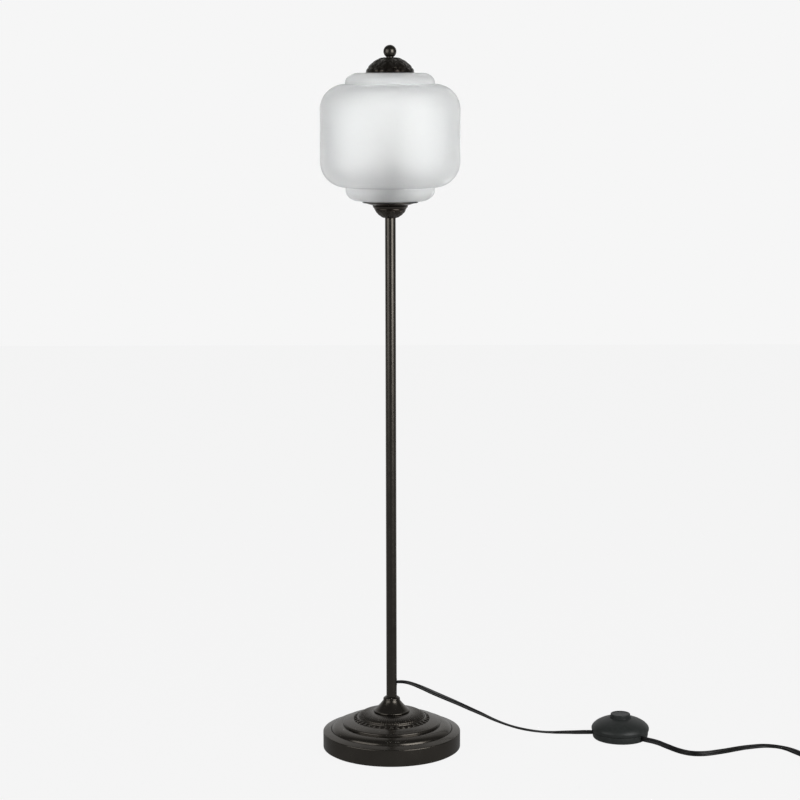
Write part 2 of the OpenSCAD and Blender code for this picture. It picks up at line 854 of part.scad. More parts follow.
module holder_shell() {
    r = holder_d / 2 - holder_wall - fit_gap;
    color("#26221f")
        ring(r, r - holder_wall, holder_cap_top - shell_lap - 4, holder_top);
}

module holder_insulator() {
    color(porcelain)
        difference() {
            translate([0, 0, insulator_z]) cylinder(r = insulator_r, h = insulator_h);
            for (s = [-1, 1])
                translate([s * terminal_x, 0, insulator_z - 1])
                cylinder(r = terminal_r + fit_gap, h = terminal_len, $fn = 32);
        }
}

module screw_shell() {
    color(brass)
        ring(screw_shell_r + shell_wall, screw_shell_r, insulator_z + insulator_h, holder_top - 3);
}

module centre_contact() {
    color(brass)
        translate([0, 0, insulator_z + insulator_h])
        cylinder(r = contact_r, h = contact_t, $fn = 48);
}

module terminal_screws() {
    color(brass)
        for (s = [-1, 1])
            translate([s * terminal_x, 0, insulator_z - terminal_head_t]) {
                cylinder(r = terminal_head_r, h = terminal_head_t, $fn = 32);
                cylinder(r = terminal_r, h = terminal_len, $fn = 32);
            }
}

module bulb_cap() {
    r = bulb_cap_d / 2;
    color(steel)
        rotate_extrude()
        polygon([
            [0, bulb_z0], [contact_r, bulb_z0], [contact_r + 1, bulb_z0 + 1.4],
            [r - 2, bulb_z0 + 4], [r, bulb_z0 + 6], [r, bulb_z0 + bulb_cap_h],
            [0, bulb_z0 + bulb_cap_h]
        ]);
}

module bulb_glass() {
    r = bulb_d / 2;
    neck_r = bulb_cap_d / 2 - 0.6;
    globe_z = bulb_z1 - r;
    start = -48;
    color([0.95, 0.95, 0.93, 0.8])
        rotate_extrude()
        polygon(concat(
            [[0, bulb_z0 + bulb_cap_h], [neck_r, bulb_z0 + bulb_cap_h]],
            [[neck_r, bulb_z0 + bulb_cap_h + 2]],
            arc(0, globe_z, r, r, start, 90, 18)
        ));
}

// ---- Cap and finial ----

module cap_gasket() {
    r = cap_d / 2 - 0.4;
    color(black) ring(r, r - cap_gasket_w, glass_z1, cap_z0);
}

module dome_cap() {
    r = cap_curve_r;
    in_r = r - cap_wall;
    rim_a = asin((cap_z0 - cap_curve_z) / r);
    in_rim_a = asin((cap_z0 - cap_curve_z) / in_r);
    top_a = acos(cap_flat_r / r);
    in_top_a = acos(cap_flat_r / in_r);
    color(bronze)
        rotate_extrude()
        polygon(concat(
            arc(0, cap_curve_z, r, r, rim_a, top_a, 14),
            [[cap_hole_r, cap_flat_z], [cap_hole_r, cap_curve_z + in_r * sin(in_top_a)]],
            arc(0, cap_curve_z, in_r, in_r, in_top_a, in_rim_a, 14)
        ));
}

module finial_washer() {
    color(bronze) ring(ball_washer_d / 2, cap_hole_r, cap_flat_z, ball_seat_z);
}

module finial_ball() {
    tap_r = stud_d / 2 + run_gap;
    seat_a = -acos(ball_seat_r / ball_r);
    color(bronze)
        rotate_extrude()
        polygon(concat(
            [[tap_r, ball_seat_z]],
            arc(0, ball_z, ball_r, ball_r, seat_a, 90, 20),
            [[0, ball_seat_z + stud_in_ball], [tap_r, ball_seat_z + stud_in_ball]]
        ));
}

// ---- Foot switch ----

// Height of the full-shouldered dome of radius rd and height h, at radius r
function dome_height(r, rd, h) = h * pow(1 - pow(r / rd, fullness), 1 / fullness);

// Points of that dome's outline from radius r0 to r1, closer together near its edge
function dome_line(rd, h, r0, r1, n = 16) =
    let (a0 = acos(r0 / rd), a1 = acos(r1 / rd))
    [for (i = [0 : n]) let (r = rd * cos(a0 + (a1 - a0) * i / n)) [r, dome_z + dome_height(r, rd, h)]];

// A slot through the lower shell's wall, for a cord with its middle at height z and rolled
module cord_slot(angle, z, roll) {
    half_w = cord_w / 2 * cos(roll) + cord_t / 2 * sin(roll) + cord_gap;
    half_h = cord_w / 2 * sin(roll) + cord_t / 2 * cos(roll) + cord_gap;
    rotate(angle)
        translate([block_r + 2, -half_w, z - half_h])
        cube([switch_r, 2 * half_w, switch_seam]);
}

module switch_base() {
    r = switch_r - shell_inset;
    color(switch_grey)
        translate(switch_at)
        difference() {
            rotate_extrude()
                polygon(concat(
                    [[0, foot_t], [r - 2.6, foot_t]],
                    arc(r - 2.6, foot_t + 1.8, 1.8, 1.8, -90, -10, 6),
                    [[r - 0.2, foot_t + 5], [r, switch_seam], [r - switch_wall, switch_seam]],
                    [[r - switch_wall - 0.6, foot_t + 4], [r - 4.6, block_z], [0, block_z]]
                ));
            cord_slot(cord_in_angle, cord_in_z, cord_in_twist);
            cord_slot(cord_out_angle, cord_out_z, 90);
            for (a = post_angles)
                rotate(a) translate([post_ring_r, 0, 0]) {
                    cylinder(r = screw_r + fit_gap, h = far, $fn = 32);
                    cylinder(r = screw_head_r + fit_gap, h = foot_t + screw_head_t, $fn = 32);
                }
        }
}

// The cover as a solid dome, for the posts to reach up to
module dome_solid(r, h) {
    rotate_extrude() polygon(concat([[0, foot_t], [r, foot_t]], dome_line(r, h, r, 0)));
}

module switch_cover() {
    hole_r = button_d / 2 + slide_gap;
    color(switch_grey)
        translate(switch_at)
        union() {
            rotate_extrude()
                polygon(concat(
                    arc(switch_r - edge_inset, dome_z, edge_inset, switch_edge_h, -90, -10, 6),
                    dome_line(switch_r, switch_dome_h, switch_r, collar_r),
                    [[collar_r - 0.3, collar_top], [hole_r, collar_top]],
                    dome_line(dome_in_r, dome_in_h, hole_r, dome_in_r),
                    [[dome_in_r, cover_z]]
                ));
            difference() {
                intersection() {
                    for (a = post_angles)
                        rotate(a)
                        translate([post_ring_r, 0, block_z])
                        cylinder(r = post_r, h = far, $fn = 32);
                    dome_solid(dome_in_r + 0.6 * switch_wall, dome_in_h + 0.6 * switch_wall);
                }
                for (a = post_angles)
                    rotate(a)
                    translate([post_ring_r, 0, 0])
                    cylinder(r = screw_r + fit_gap, h = foot_t + screw_len + 1, $fn = 32);
            }
        }
}

module switch_button() {
    r = button_d / 2;
    color(switch_grey)
        translate(switch_at) {
            rotate_extrude()
                polygon(concat(
                    [[0, flange_z - stem_len], [stem_r, flange_z - stem_len], [stem_r, flange_z]],
                    [[flange_r, flange_z], [flange_r, flange_top], [r, flange_top]],
                    arc(r - 1.4, button_top - 1.4, 1.4, 1.4, 0, 80, 6),
                    arc(0, button_top - 1.4, r - 1.6, 0.9, 80, 90, 2)
                ));
        }
}

// Centre line of the button's spring
function spring_point(k, n) =
    let (low = block_top + 2 * spring_wire_r, high = flange_z - 2 * spring_wire_r)
    let (a = 360 * spring_turns * k / n)
    [spring_r * cos(a), spring_r * sin(a), low + (high - low) * k / n];

module switch_spring() {
    n = spring_turns * 8;
    line = [for (k = [0 : n]) spring_point(k, n)];
    wire = [for (j = [0 : 5]) spring_wire_r * [cos(60 * j), sin(60 * j)]];
    color(steel) translate(switch_at) tube(line, [for (q = line) 0], wire);
}

module switch_block() {
    color(black)
        translate(switch_at)
        difference() {
            translate([0, 0, block_z]) cylinder(r = block_r, h = block_h);
            translate([0, 0, flange_z - stem_len - button_travel - 1])
                cylinder(r = stem_hole_r, h = far, $fn = 48);
        }
}

module switch_screws() {
    color(steel)
        translate(switch_at)
        for (a = post_angles)
            rotate(a) translate([post_ring_r, 0, foot_t]) {
                cylinder(r = screw_head_r, h = screw_head_t, $fn = 32);
                cylinder(r = screw_r, h = screw_len, $fn = 32);
            }
}

module switch_feet() {
    color(black)
        translate(switch_at)
        for (a = [70, 190, 310])
            rotate(a) translate([foot_ring_r, 0, 0]) cylinder(r = foot_r, h = foot_t, $fn = 48);
}

// ---- Cord, coil and plug ----

module cord_to_switch() {
    cord(route_to_switch);
}

module cord_from_switch() {
    cord(route_from_switch);
}

module cord_to_plug() {
    translate([coil_to.x, coil_to.y, 0]) cord(route_to_plug);
}

// The coil spirals in on its lower layer, climbs, and spirals out again on its upper one
function coil_r(t) = coil_out_r - coil_pitch * min(t, coil_turns - t);
function eased(u) = u * u * (3 - 2 * u);
function coil_height(t) =
    coil_z + coil_layer * eased(min(max(2 * (t - coil_turns / 2) + 0.5, 0), 1));
function coil_point(t) =
    let (a = coil_start + 360 * t)
    [coil_at.x + coil_r(t) * cos(a), coil_at.y + coil_r(t) * sin(a), coil_height(t)];

coil_rings = coil_turns * coil_steps;
coil_loop = [for (i = [0 : coil_rings]) coil_point(i / coil_steps)];
coil_line = concat(
    [coil_loop[0] + [0, cord_w, 0]],
    coil_loop,
    [coil_loop[coil_rings] + [0, cord_w, 0]]
);

// The coil's cord stands on its edge: a lozenge section of six sides
coil_section = [
    [cord_w / 2, 0], [cord_w / 2 - cord_t / 2, cord_t / 2], [cord_t / 2 - cord_w / 2, cord_t / 2],
    [-cord_w / 2, 0], [cord_t / 2 - cord_w / 2, -cord_t / 2], [cord_w / 2 - cord_t / 2, -cord_t / 2]
];

// Least gap between one turn of the coil and another
function turn_gap(p, q) =
    norm([norm([p.x - q.x, p.y - q.y]), max(abs(p.z - q.z) - (cord_w - cord_t), 0)]) - cord_t;
coil_gap = min([
    for (i = [0 : coil_rings - coil_steps / 2], j = [i + coil_steps / 2 : coil_rings])
        turn_gap(coil_loop[i], coil_loop[j])
]);
echo(str("least gap between turns of the coil: ", coil_gap, " mm"));

module cord_coil() {
    color(black) tube(coil_line, [for (q = coil_line) 90], coil_section);
}

// Outline of a box with round corners, as points
function round_box(w, h, r) = concat(
    arc(w / 2 - r, h / 2 - r, r, r, 0, 90, 4),
    arc(r - w / 2, h / 2 - r, r, r, 90, 180, 4),
    arc(r - w / 2, r - h / 2, r, r, 180, 270, 4),
    arc(w / 2 - r, r - h / 2, r, r, 270, 360, 4)
);

module coil_tie() {
    bundle_w = coil_pitch * coil_turns / 2 + cord_t + 2 * lay_gap + 0.8;
    bundle_h = coil_layer + cord_w + 2 * lay_gap;
    mid_z = coil_z + coil_layer / 2;
    color("#101010")
        translate([coil_at.x, coil_at.y, mid_z])
        rotate(tie_angle)
        translate([coil_out_r - coil_pitch * coil_turns / 4, tie_w / 2, 0])
        rotate([90, 0, 0])
        linear_extrude(tie_w)
        difference() {
            polygon(round_box(bundle_w + 2 * tie_t, bundle_h + 2 * tie_t, 1.6));
            polygon(round_box(bundle_w, bundle_h, 1));
        }
}

// Outline of the plug's body seen from above: shoulders that narrow towards the cord
module plug_body() {
    w = plug_w / 2;
    outline = [
        [-7, 0], [7, 0], [w - 3, plug_len * 0.36], [w, plug_len * 0.52], [w, plug_len - 1],
        [w - 1, plug_len], [1 - w, plug_len], [-w, plug_len - 1], [-w, plug_len * 0.52],
        [3 - w, plug_len * 0.36]
    ];
    color(black)
        translate([plug_at.x, plug_at.y + relief_len, 0])
        difference() {
            intersection() {
                linear_extrude(plug_t) polygon(outline);
                translate([0, plug_len + 1, plug_z])
                    rotate([90, 0, 0])
                    linear_extrude(plug_len + 2)
                    polygon(round_box(plug_w + 1, plug_t, 3));
            }
            for (s = [-1, 1])
                translate([s * pin_spacing / 2, plug_len - 8, plug_z])
                rotate([-90, 0, 0])
                cylinder(r = sleeve_r, h = plug_len, $fn = 32);
        }
}

module plug_relief() {
    color(black)
        translate([plug_at.x, plug_at.y, plug_z])
        rotate([-90, 0, 0])
        cylinder(r1 = cord_w / 2 + 0.6, r2 = 5.8, h = relief_len, $fn = 48);
}

// Both pins, or both sleeves, as round bars from y0 to y1
module pin_pair(r, y0, y1) {
    for (s = [-1, 1])
        translate([plug_at.x + s * pin_spacing / 2, plug_at.y + relief_len + y0, plug_z])
        rotate([-90, 0, 0])
        cylinder(r = r, h = y1 - y0, $fn = 32);
}

module plug_pins() {
    color(brass) pin_pair(pin_tip_r, plug_len + sleeve_len, plug_len + pin_len);
}

module pin_sleeves() {
    color(black) pin_pair(sleeve_r, plug_len - 8, plug_len + sleeve_len);
}

felt_pad();
base_shell();
base_weight();
base_washer();
base_nut();
base_nipple();
base_rosette();
neck_cover();
neck_collar();
pole();
cord_bushing();
inner_cord();
top_nipple();
husk_cup();
husk_nut();
gallery_plate();
seat_gasket();
saddle_spacer();
frame_saddle();
frame_rods();
frame_bridge();
bridge_nuts();
finial_stud();
holder_cap();
holder_shell();
holder_insulator();
screw_shell();
centre_contact();
terminal_screws();
bulb_cap();
bulb_glass();
glass_foot();
glass_flare();
glass_low_shoulder();
glass_drum();
glass_high_shoulder();
glass_head();
cap_gasket();
dome_cap();
finial_washer();
finial_ball();
switch_base();
switch_cover();
switch_button();
switch_spring();
switch_block();
switch_screws();
switch_feet();
cord_to_switch();
cord_from_switch();
cord_coil();
cord_to_plug();
coil_tie();
plug_body();
plug_relief();
plug_pins();
pin_sleeves();
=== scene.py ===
"""Looks of the lantern floor lamp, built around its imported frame. Sizes are in millimetres,
and each mesh is scaled to metres when it is made. +Z is up, and the photograph looks along +Y."""

import json
import math

import bmesh
import bpy
import numpy as np
from mathutils import Matrix, Vector


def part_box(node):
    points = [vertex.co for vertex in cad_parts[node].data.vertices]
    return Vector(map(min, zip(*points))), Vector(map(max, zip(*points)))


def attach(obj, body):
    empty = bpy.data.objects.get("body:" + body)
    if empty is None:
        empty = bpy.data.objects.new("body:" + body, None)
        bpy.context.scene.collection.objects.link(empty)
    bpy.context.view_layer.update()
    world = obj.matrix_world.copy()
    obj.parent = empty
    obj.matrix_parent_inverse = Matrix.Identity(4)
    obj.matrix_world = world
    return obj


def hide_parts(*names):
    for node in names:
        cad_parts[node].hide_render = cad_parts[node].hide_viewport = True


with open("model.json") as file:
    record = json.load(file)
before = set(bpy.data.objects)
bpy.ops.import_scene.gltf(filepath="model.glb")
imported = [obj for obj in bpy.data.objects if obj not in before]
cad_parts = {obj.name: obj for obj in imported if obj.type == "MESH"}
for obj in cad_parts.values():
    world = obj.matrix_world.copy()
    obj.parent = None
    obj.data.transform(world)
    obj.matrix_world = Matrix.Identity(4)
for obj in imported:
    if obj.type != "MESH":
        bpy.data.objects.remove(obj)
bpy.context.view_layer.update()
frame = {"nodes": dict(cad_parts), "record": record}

MM = 0.001
TAU = 2 * math.pi


def low(node):
    """Lowest corner of a node of the frame, in millimetres."""
    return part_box(node)[0] / MM


def high(node):
    """Highest corner of a node of the frame, in millimetres."""
    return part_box(node)[1] / MM


def radius(node):
    """Outer radius of a round node of the frame, in millimetres."""
    return (high(node).x - low(node).x) / 2


# ---- Camera ----

CAMERA_AT = (0.011, -2.600, 0.820)
CAMERA_DOWN = 8.52
CAMERA_ROLL = -0.12
CAMERA_LENS = 98.5
CAMERA_SENSOR = 36

camera = bpy.data.objects.new("camera", bpy.data.cameras.new("camera"))
bpy.context.scene.collection.objects.link(camera)
bpy.context.scene.camera = camera
camera.data.lens = CAMERA_LENS
camera.data.sensor_width = CAMERA_SENSOR
camera.matrix_world = (
    Matrix.Translation(CAMERA_AT)
    @ Matrix.Rotation(math.radians(90 - CAMERA_DOWN), 4, "X")
    @ Matrix.Rotation(math.radians(CAMERA_ROLL), 4, "Z")
)

# ---- Shared shapes ----

SHARP_ANGLE = 38
WELD = 1e-7
# The most that a fillet may take of the side next to it
FILLET_SHARE = 0.48


def add_mesh(name, points, faces, sharp=SHARP_ANGLE):
    """A smooth mesh object from points in millimetres. Edges over the sharp angle stay sharp."""
    shape = bmesh.new()
    for p in points:
        shape.verts.new((p[0] * MM, p[1] * MM, p[2] * MM))
    shape.verts.ensure_lookup_table()
    for f in faces:
        shape.faces.new([shape.verts[i] for i in f])
    bmesh.ops.remove_doubles(shape, verts=shape.verts, dist=WELD)
    bmesh.ops.dissolve_degenerate(shape, edges=shape.edges, dist=WELD)
    bmesh.ops.recalc_face_normals(shape, faces=shape.faces)
    data = bpy.data.meshes.new(name)
    shape.to_mesh(data)
    shape.free()
    piece = bpy.data.objects.new(name, data)
    bpy.context.scene.collection.objects.link(piece)
    smooth(piece, sharp)
    return piece


def smooth(piece, sharp=SHARP_ANGLE):
    """Shades a piece smooth, apart from the edges over the sharp angle."""
    data = piece.data
    data.polygons.foreach_set("use_smooth", [True] * len(data.polygons))
    data.set_sharp_from_angle(angle=math.radians(sharp))


def grid_faces(rows, columns, closed_rows=False):
    """Quads of a grid of points that is listed row by row. Each row is a closed ring."""
    faces = []
    for i in range(rows if closed_rows else rows - 1):
        for j in range(columns):
            a, b = i * columns, (i + 1) % rows * columns
            k = (j + 1) % columns
            faces.append((a + j, a + k, b + k, b + j))
    return faces


def turned(outline, steps):
    """Points of an outline of (r, z) turned round the Z axis, row by row."""
    turn = np.arange(steps) * TAU / steps
    rows = np.array(outline, float)
    x = rows[:, :1] * np.cos(turn)
    y = rows[:, :1] * np.sin(turn)
    z = np.repeat(rows[:, 1:], steps, axis=1)
    return np.stack([x, y, z], axis=2)


def placed(points, place):
    """Points, moved by a matrix in millimetres if there is one."""
    flat = np.array(points, float).reshape(-1, 3)
    if place is None:
        return flat
    m = np.array(place)
    return flat @ m[:3, :3].T + m[:3, 3]


def lathe(name, outline, steps, place=None, sharp=SHARP_ANGLE):
    """A solid of revolution from its closed half-section of (r, z) points."""
    points = placed(turned(outline, steps), place)
    return add_mesh(name, points, grid_faces(len(outline), steps, closed_rows=True), sharp)


def loft(name, rings, sharp=SHARP_ANGLE):
    """A solid through rings of points, closed at both ends."""
    count = len(rings[0])
    faces = grid_faces(len(rings), count)
    faces.append(tuple(range(count)))
    faces.append(tuple(range((len(rings) - 1) * count, len(rings) * count)))
    return add_mesh(name, np.array(rings, float).reshape(-1, 3), faces, sharp)


def arc(cx, cz, rx, rz, start, end, steps):
    """Points of an arc of an ellipse between two angles in degrees."""
    angles = [math.radians(start + (end - start) * i / steps) for i in range(steps + 1)]
    return [(cx + rx * math.cos(a), cz + rz * math.sin(a)) for a in angles]


def bent(a, b, c, steps):
    """Points of a curve that leaves a for c along the line to b."""
    us = [i / steps for i in range(steps + 1)]
    return [
        tuple((1 - u) ** 2 * a[k] + 2 * u * (1 - u) * b[k] + u * u * c[k] for k in (0, 1))
        for u in us
    ]


def ripple(u, count):
    """A height from 0 to 1 and back, count times while u runs from 0 to 1."""
    return 0.5 - 0.5 * math.cos(TAU * count * u)


def filleted(corners, steps=5):
    """A closed outline through corners of (x, y) or (x, y, fillet), with the fillets rounded."""
    outline = []
    for i, corner in enumerate(corners):
        here = Vector(corner[:2])
        back = Vector(corners[i - 1][:2]) - here
        ahead = Vector(corners[(i + 1) % len(corners)][:2]) - here
        fillet = corner[2] if len(corner) > 2 else 0
        if fillet <= 0 or back.length < 1e-6 or ahead.length < 1e-6:
            outline.append(tuple(here))
            continue
        half = back.angle(ahead) / 2
        run = min(fillet / math.tan(half), FILLET_SHARE * min(back.length, ahead.length))
        start = here + back.normalized() * run
        end = here + ahead.normalized() * run
        outline += bent(start, here, end, steps)
    return outline


def cut(piece, cutter):
    """Takes a cutter's shape out of a piece, and deletes the cutter."""
    modifier = piece.modifiers.new("cut", "BOOLEAN")
    modifier.object = cutter
    modifier.operation = "DIFFERENCE"
    modifier.solver = "EXACT"
    bpy.context.view_layer.update()
    evaluated = piece.evaluated_get(bpy.context.evaluated_depsgraph_get())
    data = bpy.data.meshes.new_from_object(evaluated)
    piece.modifiers.clear()
    piece.data = data
    bpy.data.objects.remove(cutter)
    smooth(piece)


def keep_relief(piece, values):
    """Stores how raised each point is, from 0 in a recess to 1 on a ridge."""
    attribute = piece.data.attributes.new("relief", "FLOAT", "POINT")
    attribute.data.foreach_set("value", np.asarray(values, np.float32))


# ---- Cords ----

CORD_W = 6.4
CORD_T = 2.8
# How far out on a lobe's radius the web between the two lobes meets it, as a share
CORD_WEB = 0.8
CORD_STEP = 2.5
CORD_SHARP = 60

# Routes, as in the part's source: x, y, z, and the roll in degrees
ROUTE_TO_SWITCH = [
    (6.9, 0, 81.5, 0), (14, 0, 81.5, 3), (23, 0.5, 79.5, 12), (36, 2, 74, 28),
    (51, 4, 66.5, 43), (66, 7, 59, 39), (81, 10, 51.5, 31), (96, 13.5, 43.5, 26),
    (111, 17.5, 35.5, 17), (126, 22, 27, 5), (141, 27, 19.5, -5), (156, 33, 13, -12),
    (172, 40, 7.5, -15), (188, 45.5, 3.8, -13), (203, 49, 2, -6), (217, 47.5, 2.6, 7),
    (230, 41, 4.6, 20), (240, 35, 6.6, 25), (248, 32.3, 7.4, 20), (257, 32, 7.4, 8),
    (268.8, 32, 7.4, 0),
]
ROUTE_FROM_SWITCH = [
    (294.6, 21, 6.5, 90), (301, 14.4, 6.5, 90), (308.5, 6.4, 6.7, 88), (315, 0, 7, 84),
    (321, -5, 7, 80), (327, -9.5, 6.4, 76), (333, -14, 5.1, 74), (339.5, -20, 4, 72),
    (346.5, -28, 3.4, 70), (353.5, -35.5, 3.3, 70), (362, -41.3, 3.3, 68),
    (372, -43.3, 3.3, 64), (383, -41.5, 3.2, 60), (394, -36.8, 3.1, 55),
    (406, -30.8, 2.9, 47), (418, -24, 2.8, 40), (430, -17.8, 2.7, 34), (442, -13, 2.5, 28),
    (454, -9.7, 2.4, 22), (465, -9.6, 2.1, 15), (475, -13.6, 2, 12), (483, -22.2, 2.4, 24),
    (489, -34, 3.1, 50), (494, -46, 3.9, 76), (497.6, -56, 4.1, 90), (499, -65.2, 4.1, 90),
    (499, -71.6, 4.1, 90),
]
ROUTE_TO_PLUG = [
    (0, 0, 11.1, 90), (0, 6.6, 11.1, 90), (1, 16, 10.2, 70), (3, 26, 8.8, 35),
    (4, 35, 7.4, 8), (4, 44, 6.85, 0), (4, 52.6, 6.85, 0),
]

COIL_TURNS = 5.5
COIL_OUT_R = 39.5
COIL_PITCH = CORD_T + 0.9
COIL_LAYER = 7  # from the lower layer's height to the upper one's
COIL_Z = 4.1
COIL_STEPS = 40
COIL_START = 180
COIL_FROM = ROUTE_FROM_SWITCH[-1]
COIL_AT = (COIL_FROM[0] + COIL_OUT_R, COIL_FROM[1] - CORD_W)
COIL_TO = (COIL_AT[0] + COIL_OUT_R, COIL_FROM[1])
PLUG_AT = (COIL_TO[0] + ROUTE_TO_PLUG[-1][0], COIL_TO[1] + ROUTE_TO_PLUG[-1][1])


def coil_route():
    """The coil's turns: in on the lower layer, a climb, and out again on the upper one."""
    route = []
    for i in range(int(COIL_TURNS * COIL_STEPS) + 1):
        t = i / COIL_STEPS
        r = COIL_OUT_R - COIL_PITCH * min(t, COIL_TURNS - t)
        climb = min(max(2 * (t - COIL_TURNS / 2) + 0.5, 0), 1)
        z = COIL_Z + COIL_LAYER * climb * climb * (3 - 2 * climb)
        a = math.radians(COIL_START + 360 * t)
        route.append((COIL_AT[0] + r * math.cos(a), COIL_AT[1] + r * math.sin(a), z, 90))
    return route


def resampled(route):
    """A smooth line through a route's points, with its own points about a step apart."""
    p = np.array(route, float)
    p = np.vstack([2 * p[0] - p[1], p, 2 * p[-1] - p[-2]])
    line = []
    for i in range(1, len(p) - 2):
        a, b, c, d = p[i - 1 : i + 3]
        count = max(1, round(float(np.linalg.norm((c - b)[:3])) / CORD_STEP))
        for u in np.arange(count) / count:
            line.append(
                0.5 * (2 * b + (c - a) * u + (2 * a - 5 * b + 4 * c - d) * u**2
                       + (3 * b - a - 3 * c + d) * u**3)
            )
    line.append(p[-2])
    return np.array(line)


def cord_section():
    """The flat cord's section: two round lobes with a groove between them on each side."""
    lobe = CORD_T / 2
    centre = (CORD_W - CORD_T) / 2
    half = math.degrees(math.acos(CORD_WEB))
    points = []
    for side in (1, -1):
        start, end = (half - 180, 180 - half) if side == 1 else (half, 360 - half)
        points += arc(side * centre, 0, lobe, lobe, start, end, 12)
    return points


def sweep(name, line, section):
    """A tube with the section along a line of (x, y, z, roll)."""
    rings = []
    for i, at in enumerate(line):
        ahead = line[min(i + 1, len(line) - 1)] - line[max(i - 1, 0)]
        along = Vector(ahead[:3]).normalized()
        side = Vector((0, 0, 1)).cross(along).normalized()
        up = along.cross(side)
        roll = math.radians(at[3])
        wide = side * math.cos(roll) + up * math.sin(roll)
        thick = up * math.cos(roll) - side * math.sin(roll)
        rings.append([Vector(at[:3]) + wide * s[0] + thick * s[1] for s in section])
    return loft(name, rings, CORD_SHARP)


def length_of(line):
    """Length of a line, in metres."""
    return float(np.linalg.norm(np.diff(line[:, :3], axis=0), axis=1).sum()) * MM


to_switch = resampled(ROUTE_TO_SWITCH)
to_plug_route = [(COIL_TO[0] + x, COIL_TO[1] + y, z, roll) for x, y, z, roll in ROUTE_TO_PLUG]
to_plug = resampled(ROUTE_FROM_SWITCH[:-1] + coil_route() + to_plug_route[1:])
lead_to_switch = sweep("lead_to_switch", to_switch, cord_section())
lead_to_plug = sweep("lead_to_plug", to_plug, cord_section())

# ---- Materials ----


def new_material(name, color, rough, metal=0.0, coat=0.0, coat_rough=0.1, through=0.0):
    """A material with one shader, its constants set on the shader's own sockets."""
    material = bpy.data.materials.new(name)
    material.use_nodes = True
    shader = material.node_tree.nodes["Principled BSDF"]
    shader.inputs["Base Color"].default_value = (*color, 1)
    shader.inputs["Roughness"].default_value = rough
    shader.inputs["Metallic"].default_value = metal
    shader.inputs["Coat Weight"].default_value = coat
    shader.inputs["Coat Roughness"].default_value = coat_rough
    shader.inputs["Transmission Weight"].default_value = through
    return material, shader


def add_node(material, kind, values=(), **settings):
    """A node of a material, with some of its inputs and settings."""
    node = material.node_tree.nodes.new(kind)
    for key, value in settings.items():
        setattr(node, key, value)
    for key, value in values:
        node.inputs[key].default_value = value
    return node


def link(material, out, into):
    """Joins two sockets of a material."""
    material.node_tree.links.new(out, into)


def noise(material, scale, detail=3):
    """Noise over the object's own coordinates. A scale of 1 has features a metre across."""
    place = add_node(material, "ShaderNodeTexCoord")
    grain = add_node(material, "ShaderNodeTexNoise", [("Scale", scale), ("Detail", detail)])
    link(material, place.outputs["Object"], grain.inputs["Vector"])
    return grain.outputs["Fac"]


def spread(material, value, from_low, from_high, to_low, to_high, **settings):
    """A value, mapped from one range to another and kept inside it."""
    values = [
        ("From Min", from_low), ("From Max", from_high), ("To Min", to_low), ("To Max", to_high),
    ]
    node = add_node(material, "ShaderNodeMapRange", values, **settings)
    link(material, value, node.inputs["Value"])
    return node.outputs["Result"]


def mixed(material, amount, first, second):
    """A colour between two colours."""
    node = add_node(material, "ShaderNodeMix", data_type="RGBA")
    link(material, amount, node.inputs["Factor"])
    for socket, color in ((6, first), (7, second)):
        if isinstance(color, tuple):
            node.inputs[socket].default_value = (*color, 1)
        else:
            link(material, color, node.inputs[socket])
    return node.outputs[2]


def bump(material, shader, height, distance):
    """Fine relief of the surface, its distance in millimetres."""
    node = add_node(material, "ShaderNodeBump", [("Distance", distance * MM)])
    link(material, height, node.inputs["Height"])
    link(material, node.outputs["Normal"], shader.inputs["Normal"])


PATCH_GRAINS = 12  # how many times broader a patch of colour is than a grain


def grainy(name, dark, light, scale, rough, depth, **more):
    """A material whose colour and roughness vary, with a fine bump."""
    material, shader = new_material(name, light, sum(rough) / 2, **more)
    patches = noise(material, scale / PATCH_GRAINS)
    grain = noise(material, scale)
    link(material, mixed(material, spread(material, patches, 0.35, 0.65, 0, 1), dark, light),
         shader.inputs["Base Color"])
    link(material, spread(material, patches, 0.3, 0.7, *rough), shader.inputs["Roughness"])
    bump(material, shader, grain, depth)
    return material


def bronze_lacquer(name, relief=False):
    """Warm near-black bronze under a half-gloss lacquer. With relief, its colour is darker and
    browner in the recesses: painted shade there, with the brown wax of an antique finish.
    """
    material, shader = new_material(name, (0.12, 0.108, 0.092), 0.24, metal=0.9, coat=0.2)
    cloud = spread(material, noise(material, 45), 0.3, 0.7, 0, 1)
    color = mixed(material, cloud, (0.105, 0.095, 0.081), (0.125, 0.113, 0.097))
    if relief:
        # Painted shade: the colour darkens into the recesses, with a browner tone for the wax of
        # an antique finish
        raised = add_node(material, "ShaderNodeAttribute", attribute_name="relief")
        recess_shade_and_wax = spread(material, raised.outputs["Fac"], 0.1, 0.85, 0, 1)
        color = mixed(material, recess_shade_and_wax, (0.045, 0.034, 0.025), color)
    link(material, color, shader.inputs["Base Color"])
    link(material, spread(material, noise(material, 160), 0.3, 0.7, 0.2, 0.28),
         shader.inputs["Roughness"])
    bump(material, shader, noise(material, 2600, 2), 0.006)
    return material


def frosted_glass():
    """Satin glass: it scatters what passes, with a soft sheen on its outside."""
    material, shader = new_material(
        "frosted_glass", (0.98, 0.985, 0.985), 0.75, coat=0.12, coat_rough=0.35, through=0.82
    )
    shader.inputs["Specular IOR Level"].default_value = 0.2
    shader.inputs["IOR"].default_value = 1.45
    milk = spread(material, noise(material, 9), 0.35, 0.65, 0, 1)
    link(material, mixed(material, milk, (0.97, 0.975, 0.975), (0.985, 0.99, 0.99)),
         shader.inputs["Base Color"])
    bump(material, shader, noise(material, 700, 2), 0.004)
    return material


